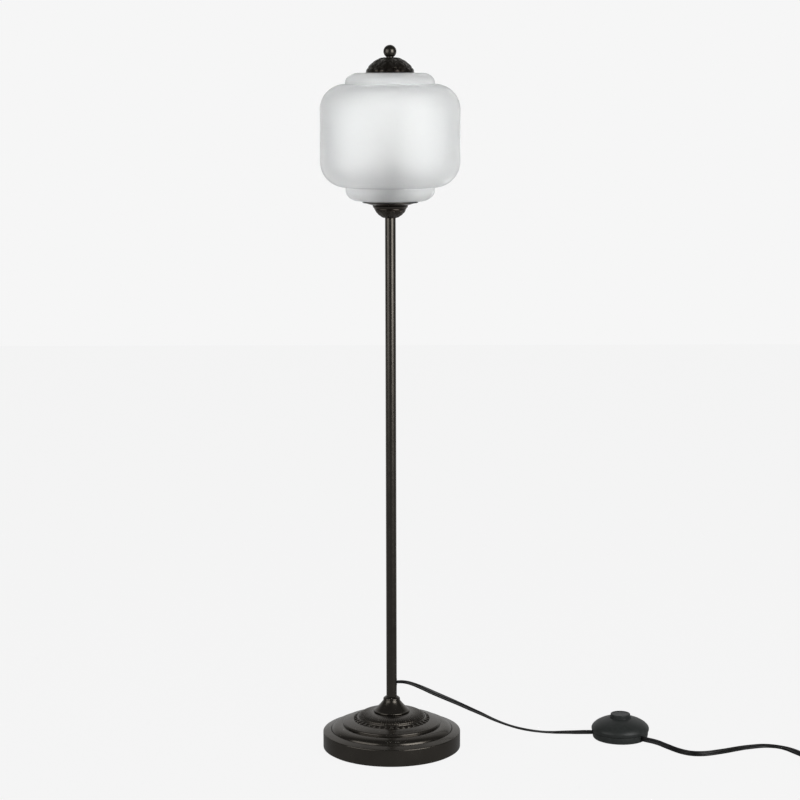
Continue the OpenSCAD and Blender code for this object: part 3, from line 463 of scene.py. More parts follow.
bronze = bronze_lacquer("bronze")
# Cast bronze, with painted shade and brown wax in its recesses
cast_bronze = bronze_lacquer("cast_bronze", relief=True)
cast_iron = grainy("cast_iron", (0.04, 0.038, 0.036), (0.08, 0.076, 0.07), 900, (0.6, 0.8), 0.25,
                   metal=0.7)
zinc = grainy("zinc", (0.42, 0.42, 0.41), (0.56, 0.56, 0.55), 700, (0.28, 0.42), 0.02, metal=1.0)
nickel = grainy("nickel", (0.56, 0.54, 0.49), (0.66, 0.64, 0.6), 500, (0.16, 0.24), 0.01,
                metal=1.0)
brass = grainy("brass", (0.55, 0.4, 0.16), (0.68, 0.53, 0.25), 500, (0.24, 0.38), 0.015,
               metal=1.0)
holder = grainy("holder", (0.032, 0.028, 0.024), (0.05, 0.045, 0.04), 500, (0.3, 0.42), 0.01,
                metal=0.4, coat=0.3)
porcelain = grainy("porcelain", (0.74, 0.72, 0.66), (0.82, 0.8, 0.75), 400, (0.12, 0.2), 0.01,
                   coat=0.6, coat_rough=0.04)
opal_glass = grainy("opal_glass", (0.93, 0.93, 0.91), (0.97, 0.97, 0.95), 300, (0.5, 0.6), 0.004,
                    coat=0.4, coat_rough=0.05, through=0.7)
felt = grainy("felt", (0.012, 0.012, 0.012), (0.028, 0.028, 0.028), 2500, (0.9, 1.0), 0.3)
rubber = grainy("rubber", (0.018, 0.018, 0.018), (0.03, 0.03, 0.03), 1500, (0.55, 0.7), 0.03)
plastic = grainy("black_plastic", (0.011, 0.011, 0.011), (0.016, 0.016, 0.016), 3000,
                 (0.38, 0.5), 0.02)
switch_plastic = grainy("switch_plastic", (0.038, 0.043, 0.041), (0.049, 0.054, 0.052), 3200,
                        (0.34, 0.46), 0.025)
sheath = grainy("sheath", (0.008, 0.008, 0.008), (0.013, 0.013, 0.013), 1800, (0.26, 0.38), 0.02)
webbing = grainy("webbing", (0.01, 0.01, 0.01), (0.03, 0.03, 0.03), 4000, (0.7, 0.9), 0.15)
glass = frosted_glass()

# The material of each slot of the record
MATERIAL_OF = {
    "bronze": bronze, "iron": cast_iron, "steel": zinc, "nickel": nickel, "brass": brass,
    "holder": holder, "porcelain": porcelain, "frosted_glass": glass, "opal_glass": opal_glass,
    "felt": felt, "gasket": rubber, "black_plastic": plastic, "switch_plastic": switch_plastic,
    "cord": sheath,
}
RECORD_SLOT = {row["node"]: row["material_slot"] for row in frame["record"]["subparts"]}


def dress(piece, material):
    """Gives a piece its material."""
    piece.data.materials.clear()
    piece.data.materials.append(material)


def stand_for(piece, material, body, node):
    """Dresses a piece, which then replaces a node of the frame and rides on its body."""
    dress(piece, material)
    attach(piece, body)
    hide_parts(node)


for node_name, slot_name in RECORD_SLOT.items():
    dress(frame["nodes"][node_name], MATERIAL_OF[slot_name])

# ---- Base ----

RIM_GAP = low("base_shell").z
BASE_R = radius("base_shell")
PLATEAU_Z = high("base_shell").z
ROSETTE_R = radius("base_rosette")
ROSETTE_TOP = high("base_rosette").z
BASE_WALL = 1.6
RIM_H = 21
RING_W = 9.5
RING_RISE = 2.5
CREASE = 0.7
CUSHION_W = 14
CUSHION_RISE = 7.1
STEP_RISE = 3.2
STEP_ROUND = 2.2
STEP_FLATTEN = 0.8
RIM_FOOT_ROUND = 0.8
RIM_ROUND = 1.3
RING_ROUND = 0.35
CREASE_ROUND = 0.2
SEAT_RIM = 1.2
SEAT_EDGE = 0.4
NIPPLE_HOLE_R = 5.1
POLE_HOLE_R = radius("pole") + 0.1


def base_shell():
    """The spun base: an upright rim, a sloping ring, a round cushion, a step and a plateau."""
    ring_in = BASE_R - RING_W
    cushion_r = ring_in - CREASE
    cushion_z = RIM_H + RING_RISE - CREASE
    step_r = cushion_r - CUSHION_W
    step_z = cushion_z + CUSHION_RISE
    band_z = step_z + STEP_RISE
    plateau_r = ROSETTE_R + SEAT_RIM
    wall = BASE_WALL
    outside = filleted([
        (BASE_R - wall, RIM_GAP), (BASE_R, RIM_GAP, RIM_FOOT_ROUND), (BASE_R, RIM_H, RIM_ROUND),
        (ring_in, RIM_H + RING_RISE, RING_ROUND), (cushion_r, cushion_z, CREASE_ROUND),
    ])
    cushion = arc(step_r, cushion_z, CUSHION_W, CUSHION_RISE, 6, 90, 28)
    step_h = STEP_FLATTEN * STEP_ROUND
    step = arc(step_r - STEP_ROUND, band_z - step_h, STEP_ROUND, step_h, 0, 72, 10)
    top = [
        (plateau_r + SEAT_EDGE, PLATEAU_Z), (plateau_r - SEAT_EDGE, PLATEAU_Z),
        (NIPPLE_HOLE_R, PLATEAU_Z),
    ]
    # The inside follows the outside in straight lines
    inside = [
        (NIPPLE_HOLE_R, PLATEAU_Z - wall), (plateau_r, PLATEAU_Z - wall),
        (step_r - wall, band_z - wall), (step_r - wall, step_z - wall),
        (cushion_r - 0.5 * CUSHION_W, step_z - wall - 0.14 * CUSHION_RISE),
        (cushion_r - wall - 0.1 * CUSHION_W, cushion_z - wall + 0.25 * CUSHION_RISE),
        (cushion_r - wall, cushion_z - wall), (BASE_R - wall, RIM_H - wall),
    ]
    piece = lathe("base_cover", outside + cushion + step + top + inside, 320, sharp=50)
    stand_for(piece, bronze, "lamp", "base_shell")


TEETH = 40
FLUTES = 80
TOOTH_STEPS = 24
TOOTH_BAND_W = 4.6
TOOTH_RISE = 0.28
TOOTH_DEPTH = 1.1
TOOTH_SHARPNESS = 1.9
TOOTH_RUN_IN = 4  # a notch is at its full depth after one part in this many of the band
TOOTH_ROWS = 15
ROSETTE_EDGE = 1
BEAD_R = 0.9
NECK_FOOT_R = radius("neck_cover")
FLUTE_DEPTH = 0.55
FLUTE_POWER = 0.75
FLUTE_RUN_IN = 1.6
FLUTE_ROWS = 22
FLUTED_FROM = 0.35  # share of the rosette's height that is below its fluted dome
# How much darker the colour is in the flutes and notches: painted shade, with the brown wax of an
# antique finish
RECESS_SHADE_AND_WAX = 0.9


def wave(turn, count, power):
    """Height from 0 in a groove to 1 on a rib, for count ribs to the turn."""
    return np.abs(np.cos(turn * count / 2)) ** power


def rosette():
    """The cast rosette: fluted dome, plain bead and a sloping edge cut into teeth."""
    steps = TEETH * TOOTH_STEPS
    turn = np.arange(steps) * TAU / steps
    bead_at = ROSETTE_R - TOOTH_BAND_W - BEAD_R
    band_z = PLATEAU_Z + ROSETTE_EDGE + TOOTH_RISE * TOOTH_BAND_W
    dome_out = bead_at - BEAD_R
    dome_w = dome_out - NECK_FOOT_R
    dome_z = PLATEAU_Z + FLUTED_FROM * (ROSETTE_TOP - PLATEAU_Z)
    dome_h = ROSETTE_TOP - dome_z
    # Each row is a radius, a height, and the shares of the flutes' and the notches' depth
    rows = [(POLE_HOLE_R, ROSETTE_TOP, 0, 0)]
    for i in range(FLUTE_ROWS + 1):
        a = math.pi / 2 * i / FLUTE_ROWS
        flute = min(1, FLUTE_RUN_IN * i / FLUTE_ROWS)
        rows.append((NECK_FOOT_R + dome_w * math.sin(a), dome_z + dome_h * math.cos(a), flute, 0))
    for r, z in arc(bead_at, band_z, BEAD_R, BEAD_R, 165, 0, 10):
        rows.append((r, z, 0, 0))
    for i in range(TOOTH_ROWS):
        out = TOOTH_BAND_W * (i + 0.5) / TOOTH_ROWS
        tooth = min(1, TOOTH_RUN_IN * out / TOOTH_BAND_W)
        rows.append((bead_at + BEAD_R + out, band_z - TOOTH_RISE * out, 0, tooth))
    rows.append((ROSETTE_R, PLATEAU_Z + ROSETTE_EDGE - 0.15, 0, 1))
    rows.append((ROSETTE_R, PLATEAU_Z, 0, 0))
    rows.append((POLE_HOLE_R, PLATEAU_Z, 0, 0))
    groove = 1 - wave(turn, FLUTES, FLUTE_POWER)
    notch = np.clip((1 - wave(turn, TEETH, 1)) * TOOTH_SHARPNESS, 0, 1)
    grid, raised = [], []
    for r, z, flute, tooth in rows:
        depth = FLUTE_DEPTH * flute * groove + TOOTH_DEPTH * tooth * notch
        grid.append(np.stack([r * np.cos(turn), r * np.sin(turn), z - depth], axis=1))
        # The colour darkens in the flutes and notches: painted shade, with the wax of an antique
        # finish
        raised.append(1 - RECESS_SHADE_AND_WAX * (flute * groove + tooth * notch))
    points = np.concatenate(grid)
    piece = add_mesh("rosette", points, grid_faces(len(rows), steps, closed_rows=True), 70)
    keep_relief(piece, np.concatenate(raised))
    stand_for(piece, cast_bronze, "lamp", "base_rosette")


NECK_WALL = 1.4
NECK_CURVE = 1.3
NECK_STEPS = 28
FOOT_BEAD_R = 1.1
COLLAR_INSET = 0.5


def neck():
    """The bell-shaped neck cover with a bead at its foot, and the collar on top of it."""
    foot_z, neck_top = low("neck_cover").z, high("neck_cover").z
    foot_r = radius("neck_cover")
    collar_r, collar_top = radius("neck_collar"), high("neck_collar").z
    top_r = collar_r - COLLAR_INSET
    flare_w = foot_r - FOOT_BEAD_R - top_r
    flare_z = foot_z + 2 * FOOT_BEAD_R
    flare_h = neck_top - flare_z
    bead = arc(foot_r - FOOT_BEAD_R, foot_z + FOOT_BEAD_R, FOOT_BEAD_R, FOOT_BEAD_R, -85, 85, 14)
    flare = [
        (top_r + flare_w * (1 - k) ** NECK_CURVE, flare_z + flare_h * k)
        for k in np.linspace(0.06, 1, NECK_STEPS + 1)
    ]
    inside = [
        (top_r - NECK_WALL, neck_top), (top_r - NECK_WALL, neck_top - 0.25 * flare_h),
        (top_r - NECK_WALL + 0.3 * flare_w, neck_top - 0.62 * flare_h),
        (foot_r - 2 * FOOT_BEAD_R - NECK_WALL, foot_z + FOOT_BEAD_R),
        (foot_r - 2 * FOOT_BEAD_R - NECK_WALL, foot_z),
    ]
    cover = lathe("neck_bell", bead + flare + inside, 192, sharp=50)
    stand_for(cover, bronze, "lamp", "neck_cover")
    collar = filleted([
        (POLE_HOLE_R, neck_top), (top_r, neck_top), (collar_r, neck_top + 0.3, 0.3),
        (collar_r - 0.3, neck_top + 1.7, 0.9), (POLE_HOLE_R + 1.6, collar_top - 0.9, 0.8),
        (POLE_HOLE_R, collar_top, 0.2),
    ])
    stand_for(lathe("neck_ring", collar, 160), bronze, "lamp", "neck_collar")


# ---- Husk cup, gallery plate, cap and ball ----

SCALLOPS = 3
LEAF_EDGE = 0.14
VEIN_W = 0.1
VEIN_DEPTH = 0.45
RIB_HEIGHT = 0.28
EMBOSS_STEPS = 720
EMBOSS_SHARP = 60


def leaves(turn, up, count, slant):
    """Height from 0 to 1 of a ring of scalloped leaves; up runs from a leaf's foot to its tip."""
    across = (((turn * count / TAU) + 0.5) % 1 - 0.5) * 2
    away = np.abs(across)
    width = np.sin(np.pi * np.clip(0.16 + 0.84 * up, 0, 1)) ** 0.55
    width = np.maximum(width * (0.86 + 0.14 * np.cos(TAU * (SCALLOPS * up + 0.35))), 0.02)
    edge = np.clip((width - away) / LEAF_EDGE, 0, 1)
    crown = 1 - 0.55 * (away / width) ** 2
    vein = VEIN_DEPTH * np.exp(-((across / VEIN_W) ** 2))
    ribs = RIB_HEIGHT * np.cos(TAU * (slant * away - SCALLOPS * up))
    ribs *= np.clip(away / (2 * VEIN_W), 0, 1)
    return edge * edge * (3 - 2 * edge) * np.clip(crown - vein + ribs, 0, 1.2)


def two_tiers(turn, up, count, slant):
    """Leaves with a second, lower row of them behind, half a step round."""
    behind = leaves(turn + TAU / count / 2, 0.88 * up, count, slant)
    return np.maximum(leaves(turn, up, count, slant), 0.5 * behind)


def embossed(name, outline, inside, height, relief):
    """A turned shell whose outside is raised by relief(turn, share along the outline)."""
    turn = np.arange(EMBOSS_STEPS) * TAU / EMBOSS_STEPS
    rows = np.array(outline, float)
    along = np.gradient(rows, axis=0)
    along /= np.linalg.norm(along, axis=1)[:, None]
    outward = np.stack([along[:, 1], -along[:, 0]], axis=1)
    run = np.concatenate([[0], np.cumsum(np.linalg.norm(np.diff(rows, axis=0), axis=1))])
    grid, raised = [], []
    for (r, z), out, u in zip(rows, outward, run / run[-1]):
        rise = relief(turn, u)
        rr, zz = r + height * rise * out[0], z + height * rise * out[1]
        grid.append(np.stack([rr * np.cos(turn), rr * np.sin(turn), zz], axis=1))
        raised.append(rise)
    grid += list(turned(inside, EMBOSS_STEPS))
    raised += [np.zeros(EMBOSS_STEPS)] * len(inside)
    faces = grid_faces(len(grid), EMBOSS_STEPS, closed_rows=True)
    piece = add_mesh(name, np.concatenate(grid), faces, EMBOSS_SHARP)
    keep_relief(piece, np.concatenate(raised))
    return piece


HUSK_LEAVES = 9
HUSK_SLANT = 1.6
HUSK_RELIEF = 0.75
HUSK_WALL = 1.4
HUB_T = 3.4
# Shares of the cup's outline
HUSK_LEAF_FOOT = 0.06
HUSK_LEAF_TIP = 0.72
HUSK_BEAD_AT = 0.785
HUSK_BEAD_W = 0.028
HUSK_LIP_AT = 0.865
HUSK_LIP_W = 0.008
# Shares of the cup's width and height, where the tangents of its two ends meet
HUSK_KNEE = (0.74, 0.32)
HUSK_FLOOR_R = 8.9


def husk_relief(turn, u):
    """Leaves on the lower part of the cup, then a small bead and a smooth lip."""
    if u < HUSK_LEAF_TIP:
        tiers = two_tiers(turn, u / HUSK_LEAF_TIP, HUSK_LEAVES, HUSK_SLANT)
        return tiers * min(1, u / HUSK_LEAF_FOOT)
    bead = math.exp(-(((u - HUSK_BEAD_AT) / HUSK_BEAD_W) ** 2))
    lip = 1 / (1 + math.exp(-(u - HUSK_LIP_AT) / HUSK_LIP_W))
    return np.full_like(turn, max(0.75 * bead, 0.95 * lip))


def husk():
    """The cup under the gallery plate, with leaves in relief."""
    z0, z1 = low("husk_cup").z, high("husk_cup").z
    r = radius("husk_cup") - 0.6 * HUSK_RELIEF
    hub_r = radius("pole") + 0.6
    knee = (hub_r + HUSK_KNEE[0] * (r - hub_r), z0 + HUSK_KNEE[1] * (z1 - z0))
    outside = bent((hub_r + 0.3, z0 + 0.6), knee, (r, z1 - 0.5), 110)
    inside = [(r, z1), (r - HUSK_WALL, z1)]
    inside += bent(
        (r - HUSK_WALL, z1 - 0.4),
        (knee[0] - 0.8 * HUSK_WALL, knee[1] + 0.8 * HUSK_WALL),
        (HUSK_FLOOR_R, z0 + HUB_T), 12,
    )
    inside += [(NIPPLE_HOLE_R, z0 + HUB_T), (NIPPLE_HOLE_R, z0), (hub_r, z0)]
    piece = embossed("husk", outside, inside, HUSK_RELIEF, husk_relief)
    stand_for(piece, cast_bronze, "lamp", "husk_cup")


PLATE_T = 1.2
PLATE_LIP = 3.6


def gallery():
    """The thin plate that carries the glass, with a rolled lip."""
    z0, z1, r = low("gallery_plate").z, high("gallery_plate").z, radius("gallery_plate")
    flat_r = radius("husk_cup") + 0.4
    outline = filleted([
        (NIPPLE_HOLE_R, z0), (flat_r, z0, 1.5), (r - PLATE_LIP, z1 - PLATE_T, 1.5),
        (r, z1 - 0.75 * PLATE_T, 0.35), (r, z1, 0.35), (r - PLATE_LIP - 0.4, z1, 1.2),
        (flat_r - 0.6, z0 + PLATE_T, 1.5), (NIPPLE_HOLE_R, z0 + PLATE_T),
    ])
    stand_for(lathe("gallery", outline, 224), bronze, "lamp", "gallery_plate")


DOME_LEAVES = 10
DOME_SLANT = 1.4
DOME_TURN = 0.12
DOME_RELIEF = 0.8
CAP_WALL = 1.5
CAP_HOLE_R = 2.8
# Shares of the cap's outline
CURL_FROM = 0.03
CURL_TO = 0.2
CROWN_FROM = 0.95
CURL_HEIGHT = 1.15


def dome_relief(turn, u):
    """A row of curled leaf ends along the rim, and leaves above it up to the crown."""
    if u < CURL_FROM or u > CROWN_FROM:
        return np.zeros_like(turn)
    if u < CURL_TO:
        swell = math.sin(math.pi * (u - CURL_FROM) / (CURL_TO - CURL_FROM)) ** 0.7
        uneven = 0.8 + 0.2 * np.cos(3 * turn + 0.7)
        return CURL_HEIGHT * wave(turn, 2 * DOME_LEAVES, 0.9) * swell * uneven
    up = (u - CURL_TO) / (CROWN_FROM - CURL_TO)
    return two_tiers(turn + DOME_TURN, up, DOME_LEAVES, DOME_SLANT)


def dome():
    """The domed cap over the lantern, with leaves in relief."""
    z0, rim_r = low("dome_cap").z, radius("dome_cap") - 0.35 * DOME_RELIEF
    washer_z = low("finial_washer").z
    flat_r = radius("finial_washer") + 0.6
    # The ball-shaped dome through its rim and through the flat that the washer stands on
    rise = washer_z - z0
    below = (rim_r**2 - flat_r**2 - rise**2) / (2 * rise)
    r = math.hypot(rim_r, below)
    in_r = r - CAP_WALL

    def angle(z, curve_r):
        return math.degrees(math.asin((z + below) / curve_r))

    in_top = math.degrees(math.acos(flat_r / in_r))
    outside = arc(0, z0 - below, r, r, angle(0.1, r), angle(rise, r), 130)
    flat_z = z0 - below + in_r * math.sin(math.radians(in_top))
    inside = [(CAP_HOLE_R, washer_z), (CAP_HOLE_R, flat_z)]
    inside += arc(0, z0 - below, in_r, in_r, in_top, angle(0, in_r), 16)
    piece = embossed("dome", outside, inside, DOME_RELIEF, dome_relief)
    stand_for(piece, cast_bronze, "cap", "dome_cap")


TAP_R = 2.55
TAP_DEPTH = 8


def ball():
    """The turned ball that screws on the stud."""
    r, seat_z = radius("finial_ball"), low("finial_ball").z
    centre = high("finial_ball").z - r
    seat = math.degrees(math.asin((seat_z - centre) / r))
    outline = [(TAP_R, seat_z)] + arc(0, centre, r, r, seat, 90, 72)
    outline += [(0, seat_z + TAP_DEPTH), (TAP_R, seat_z + TAP_DEPTH)]
    stand_for(lathe("ball", outline, 128), bronze, "finial", "finial_ball")


# ---- Glass lantern ----

GLASS_WALL = 3.5
GLASS_RINGS = (
    "glass_foot", "glass_flare", "glass_low_shoulder", "glass_drum", "glass_high_shoulder",
    "glass_head",
)
GLASS_R = radius("glass_drum")
GLASS_NECK_R = 52.8
SHOULDER_R = 30
LOW_NECK_H = 16.2
TOP_NECK_H = 12.9
NECK_ROUND_W = 15.6
LOW_ROUND_H = 12.3
TOP_ROUND_H = 11.4
MOUTH_R = 30
TOP_MOUTH_R = 24
NECK_ROUND_STEPS = 24
SHOULDER_STEPS = 44


def glass_line(inset):
    """Half-section of the lantern's wall, moved in by inset from its outside."""
    z0, z1 = low("glass_foot").z, high("glass_head").z
    r, n = GLASS_R - inset, GLASS_NECK_R - inset
    round_w = NECK_ROUND_W - inset
    bottom = z0 + LOW_NECK_H + SHOULDER_R
    top = z1 - TOP_NECK_H - SHOULDER_R
    line = arc(n - round_w, z0 + LOW_ROUND_H, round_w, LOW_ROUND_H - inset, -90, 0,
               NECK_ROUND_STEPS)
    line += arc(n, bottom, r - n, SHOULDER_R - inset, -90, 0, SHOULDER_STEPS)
    line += arc(n, top, r - n, SHOULDER_R - inset, 0, 90, SHOULDER_STEPS)
    line += arc(n - round_w, z1 - TOP_ROUND_H, round_w, TOP_ROUND_H - inset, 0, 90,
                NECK_ROUND_STEPS)
    return line


def lantern():
    """The stepped glass lantern, open below and above."""
    z0, z1 = low("glass_foot").z, high("glass_head").z
    outline = [(MOUTH_R, z0)] + glass_line(0)
    outline += [(TOP_MOUTH_R, z1), (TOP_MOUTH_R, z1 - GLASS_WALL)]
    outline += glass_line(GLASS_WALL)[::-1] + [(MOUTH_R, z0 + GLASS_WALL)]
    piece = lathe("lantern", outline, 288, sharp=55)
    stand_for(piece, glass, "shade", GLASS_RINGS[0])
    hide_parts(*GLASS_RINGS[1:])


# ---- Lampholder and bulb ----

HOLDER_WALL = 1.4


def lampholder():
    """The lampholder's cap, and its shell with a bead near the top."""
    z0, cap_top, r = low("holder_cap").z, high("holder_cap").z, radius("holder_cap")
    wall = HOLDER_WALL
    cap = filleted([
        (NIPPLE_HOLE_R, z0), (r, z0, 4), (r, cap_top, 0.4), (r - wall, cap_top, 0.4),
        (r - wall, z0 + wall, 2.6), (NIPPLE_HOLE_R, z0 + wall),
    ])
    stand_for(lathe("lampholder_cap", cap, 128), holder, "lamp", "holder_cap")
    s0, s1, sr = low("holder_shell").z, high("holder_shell").z, radius("holder_shell")
    bead = [(sr, s0), (sr, s1 - 5)] + arc(sr, s1 - 4, 0.6, 1, -90, 90, 8)
    shell = bead + [(sr, s1 - 0.5), (sr - 0.5, s1), (sr - wall, s1), (sr - wall, s0)]
    stand_for(lathe("lampholder_shell", shell, 128), holder, "lamp", "holder_shell")


THREAD_TURNS = 5
THREAD_STEPS = 8
THREAD_DEPTH = 0.45
THREAD_FROM = 6  # above the cap's foot
THREAD_TO = 3  # below the cap's top
BULB_NECK_INSET = 0.6
GLOBE_FROM = -48
# How far under the globe's centre the neck's line starts to turn into the globe
GLOBE_NECK_DROP = 17.5


def bulb():
    """The bulb: a cap with a rolled thread, and an opal globe."""
    z0, z1, r = low("bulb_cap").z, high("bulb_cap").z, radius("bulb_cap")
    thread_h = z1 - z0 - THREAD_FROM - THREAD_TO
    steps = THREAD_TURNS * THREAD_STEPS
    thread = [
        (r - 0.5 + THREAD_DEPTH * ripple(i / steps, THREAD_TURNS),
         z0 + THREAD_FROM + thread_h * i / steps)
        for i in range(steps + 1)
    ]
    neck_r = r - BULB_NECK_INSET
    outline = [(0, z0), (4, z0), (5, z0 + 1.4), (r - 2, z0 + 4)] + thread
    outline += [(neck_r, z1), (0, z1)]
    stand_for(lathe("bulb_thread", outline, 96), nickel, "bulb", "bulb_cap")
    foot, globe_r = low("bulb_glass").z, radius("bulb_glass")
    centre = high("bulb_glass").z - globe_r
    globe = arc(0, centre, globe_r, globe_r, GLOBE_FROM, 90, 60)
    neck = bent((neck_r, foot + 2), (neck_r, centre - GLOBE_NECK_DROP), globe[0], 8)
    outline = [(0, foot), (neck_r, foot)] + neck + globe[1:]
    stand_for(lathe("bulb_globe", outline, 128), opal_glass, "bulb", "bulb_glass")


# ---- Foot switch ----

SWITCH_WALL = 2
DOME_FULLNESS = 1.75
COVER_DOME_H = 15
COVER_EDGE_H = 3.4
COVER_EDGE_INSET = 1
SEAM_GAP = 0.4
COVER_DOME_Z = high("switch_base").z + SEAM_GAP + COVER_EDGE_H
COVER_IN_R = radius("switch_cover") - SWITCH_WALL
COVER_IN_H = COVER_DOME_H - SWITCH_WALL
BUTTON_R = 12.1
BUTTON_GAP = 0.25
BUTTON_DISH = 0.45
# The well under the button that the spring goes into when the button is pressed
WELL_R = 6.8
WELL_DEPTH = 3.8
COLLAR_W = 0.9
COLLAR_RISE = 1.5
FLANGE_W = 2.3
FLANGE_T = 1.5
STEM_R = 3.5
FOOT_R = 3.5
FOOT_RING_R = 23
FOOT_ANGLES = (70, 190, 310)
SLOT_GAP = 0.2
SLOT_FROM_R = 17
SLOT_TO_R = 50
# Angle, height and roll of the cord where it passes the switch's wall
CORD_PASSES = ((180, 7.4, 20), (-46, 6.5, 90))


def switch_place():
    """Where the switch stands on the floor."""
    middle = (low("switch_cover") + high("switch_cover")) / 2
    return Matrix.Translation((middle.x, middle.y, 0))


def dome_height(r, dome_r, height):
    """Height of the cover's dome at radius r."""
    return height * (1 - (r / dome_r) ** DOME_FULLNESS) ** (1 / DOME_FULLNESS)


def dome_line(dome_r, height, z0, from_r, to_r, steps):
    """Points of the dome's outline, closer together near its edge."""
    a0, a1 = math.acos(from_r / dome_r), math.acos(to_r / dome_r)
    radii = [dome_r * math.cos(a0 + (a1 - a0) * i / steps) for i in range(steps + 1)]
    return [(r, z0 + dome_height(r, dome_r, height)) for r in radii]


def cord_slot(place, angle, z, roll, top):
    """A block that cuts the slot for the cord through the switch's wall."""
    c, s = math.cos(math.radians(roll)), math.sin(math.radians(roll))
    half_w = CORD_W / 2 * c + CORD_T / 2 * s + SLOT_GAP
    half_h = CORD_W / 2 * s + CORD_T / 2 * c + SLOT_GAP
    turn = place @ Matrix.Rotation(math.radians(angle), 4, "Z")
    corners = [(SLOT_FROM_R, -half_w), (SLOT_TO_R, -half_w), (SLOT_TO_R, half_w),
               (SLOT_FROM_R, half_w)]
    ends = [placed([(x, y, h) for x, y in corners], turn) for h in (z - half_h, top)]
    return loft("slot_cutter", ends)


def switch_lower(place):
    """The switch's lower shell, with a slot for the cord on each side."""
    foot_t, seam, r = low("switch_base").z, high("switch_base").z, radius("switch_base")
    outline = filleted([
        (0, foot_t), (r - 1, foot_t, 2.4), (r - 0.2, foot_t + 5, 4), (r, seam, 0.4),
        (r - SWITCH_WALL, seam, 0.3), (r - SWITCH_WALL - 0.6, foot_t + 4, 2),
        (r - 4.6, foot_t + SWITCH_WALL), (0, foot_t + SWITCH_WALL),
    ])
    piece = lathe("switch_shell", outline, 192, place)
    for angle, z, roll in CORD_PASSES:
        cut(piece, cord_slot(place, angle, z, roll, seam + 5))
    stand_for(piece, switch_plastic, "lamp", "switch_base")


def switch_upper(place):
    """The switch's domed cover with a rounded lower edge, and a collar round the button."""
    r = radius("switch_cover")
    hole_r = BUTTON_R + BUTTON_GAP
    collar_r = hole_r + COLLAR_W
    edge = arc(r - COVER_EDGE_INSET, COVER_DOME_Z, COVER_EDGE_INSET, COVER_EDGE_H, -90, -5, 12)
    shoulder = dome_line(r, COVER_DOME_H, COVER_DOME_Z, r, collar_r, 72)
    foot_z = shoulder[-1][1]
    collar = filleted([
        shoulder[-1], (collar_r, foot_z + COLLAR_RISE, 0.5), (hole_r, foot_z + COLLAR_RISE, 0.3),
        (hole_r, foot_z - 1),
    ])
    inside = dome_line(COVER_IN_R, COVER_IN_H, COVER_DOME_Z, hole_r, COVER_IN_R, 24)
    inside.append((COVER_IN_R, COVER_DOME_Z - COVER_EDGE_H))
    piece = lathe("switch_dome", edge + shoulder[:-1] + collar[:-1] + inside, 256, place)
    stand_for(piece, switch_plastic, "lamp", "switch_cover")


def foot_button(place):
    """The round button, dished inside a raised rim, with its flange and stem."""
    top, bottom = high("switch_button").z, low("switch_button").z
    flange_r = BUTTON_R + FLANGE_W
    flange_z = COVER_DOME_Z + dome_height(flange_r, COVER_IN_R, COVER_IN_H) - BUTTON_GAP
    under_z = flange_z - FLANGE_T
    well_z = under_z + WELL_DEPTH
    outline = filleted([
        (0, bottom), (STEM_R, bottom), (STEM_R, well_z), (WELL_R, well_z), (WELL_R, under_z),
        (flange_r, under_z), (flange_r, flange_z), (BUTTON_R, flange_z),
        (BUTTON_R, top - 0.05, 1.1), (BUTTON_R - 1.9, top, 0.5),
        (BUTTON_R - 2.9, top - BUTTON_DISH, 0.6), (0, top - BUTTON_DISH),
    ], 8)
    piece = lathe("foot_button", outline, 160, place)
    stand_for(piece, switch_plastic, "button", "switch_button")


def foot_switch():
    """The round foot switch: lower shell, domed cover, button and rubber feet."""
    place = switch_place()
    switch_lower(place)
    switch_upper(place)
    foot_button(place)
    foot_t = low("switch_base").z
    pad = filleted([(0, 0), (FOOT_R, 0, 0.3), (FOOT_R, foot_t), (0, foot_t)], 3)
    out = Matrix.Translation((FOOT_RING_R, 0, 0))
    for angle in FOOT_ANGLES:
        spot = place @ Matrix.Rotation(math.radians(angle), 4, "Z") @ out
        stand_for(lathe(f"switch_foot_{angle}", pad, 48, spot), rubber, "lamp", "switch_feet")


# ---- Plug and coil tie ----

PLUG_Z = 6.85
PLUG_NECK_W = 7
PLUG_ROWS = 48
PLUG_SIDES = 64
PLUG_END_ROUND = 1.2
# Shares of the plug body's length
PLUG_FULL_FROM = 0.52
GRIP_FROM = 0.14
GRIP_LEN = 0.4
PLUG_END_FROM = 0.93
GRIP_RIBS = 5
GRIP_DEPTH = 0.45
RELIEF_LEN = 22
RELIEF_RIBS = 7
RELIEF_RIB_DEPTH = 0.32
RELIEF_ROWS = 60
RELIEF_FROM_R = CORD_W / 2 + 0.5
RELIEF_TO_R = 5.7
PIN_SPACING = 18.6
PIN_R = 1.85
SLEEVE_R = 2
SLEEVE_LEN = 18


def plug_ring(y, w, t, power):
    """A ring round the plug, from an ellipse to nearly a rectangle as the power grows."""
    ring = []
    for i in range(PLUG_SIDES):
        a = TAU * i / PLUG_SIDES
        c, s = math.cos(a), math.sin(a)
        ring.append((
            PLUG_AT[0] + w * math.copysign(abs(c) ** (2 / power), c), y,
            PLUG_Z + t * math.copysign(abs(s) ** (2 / power), s),
        ))
    return ring


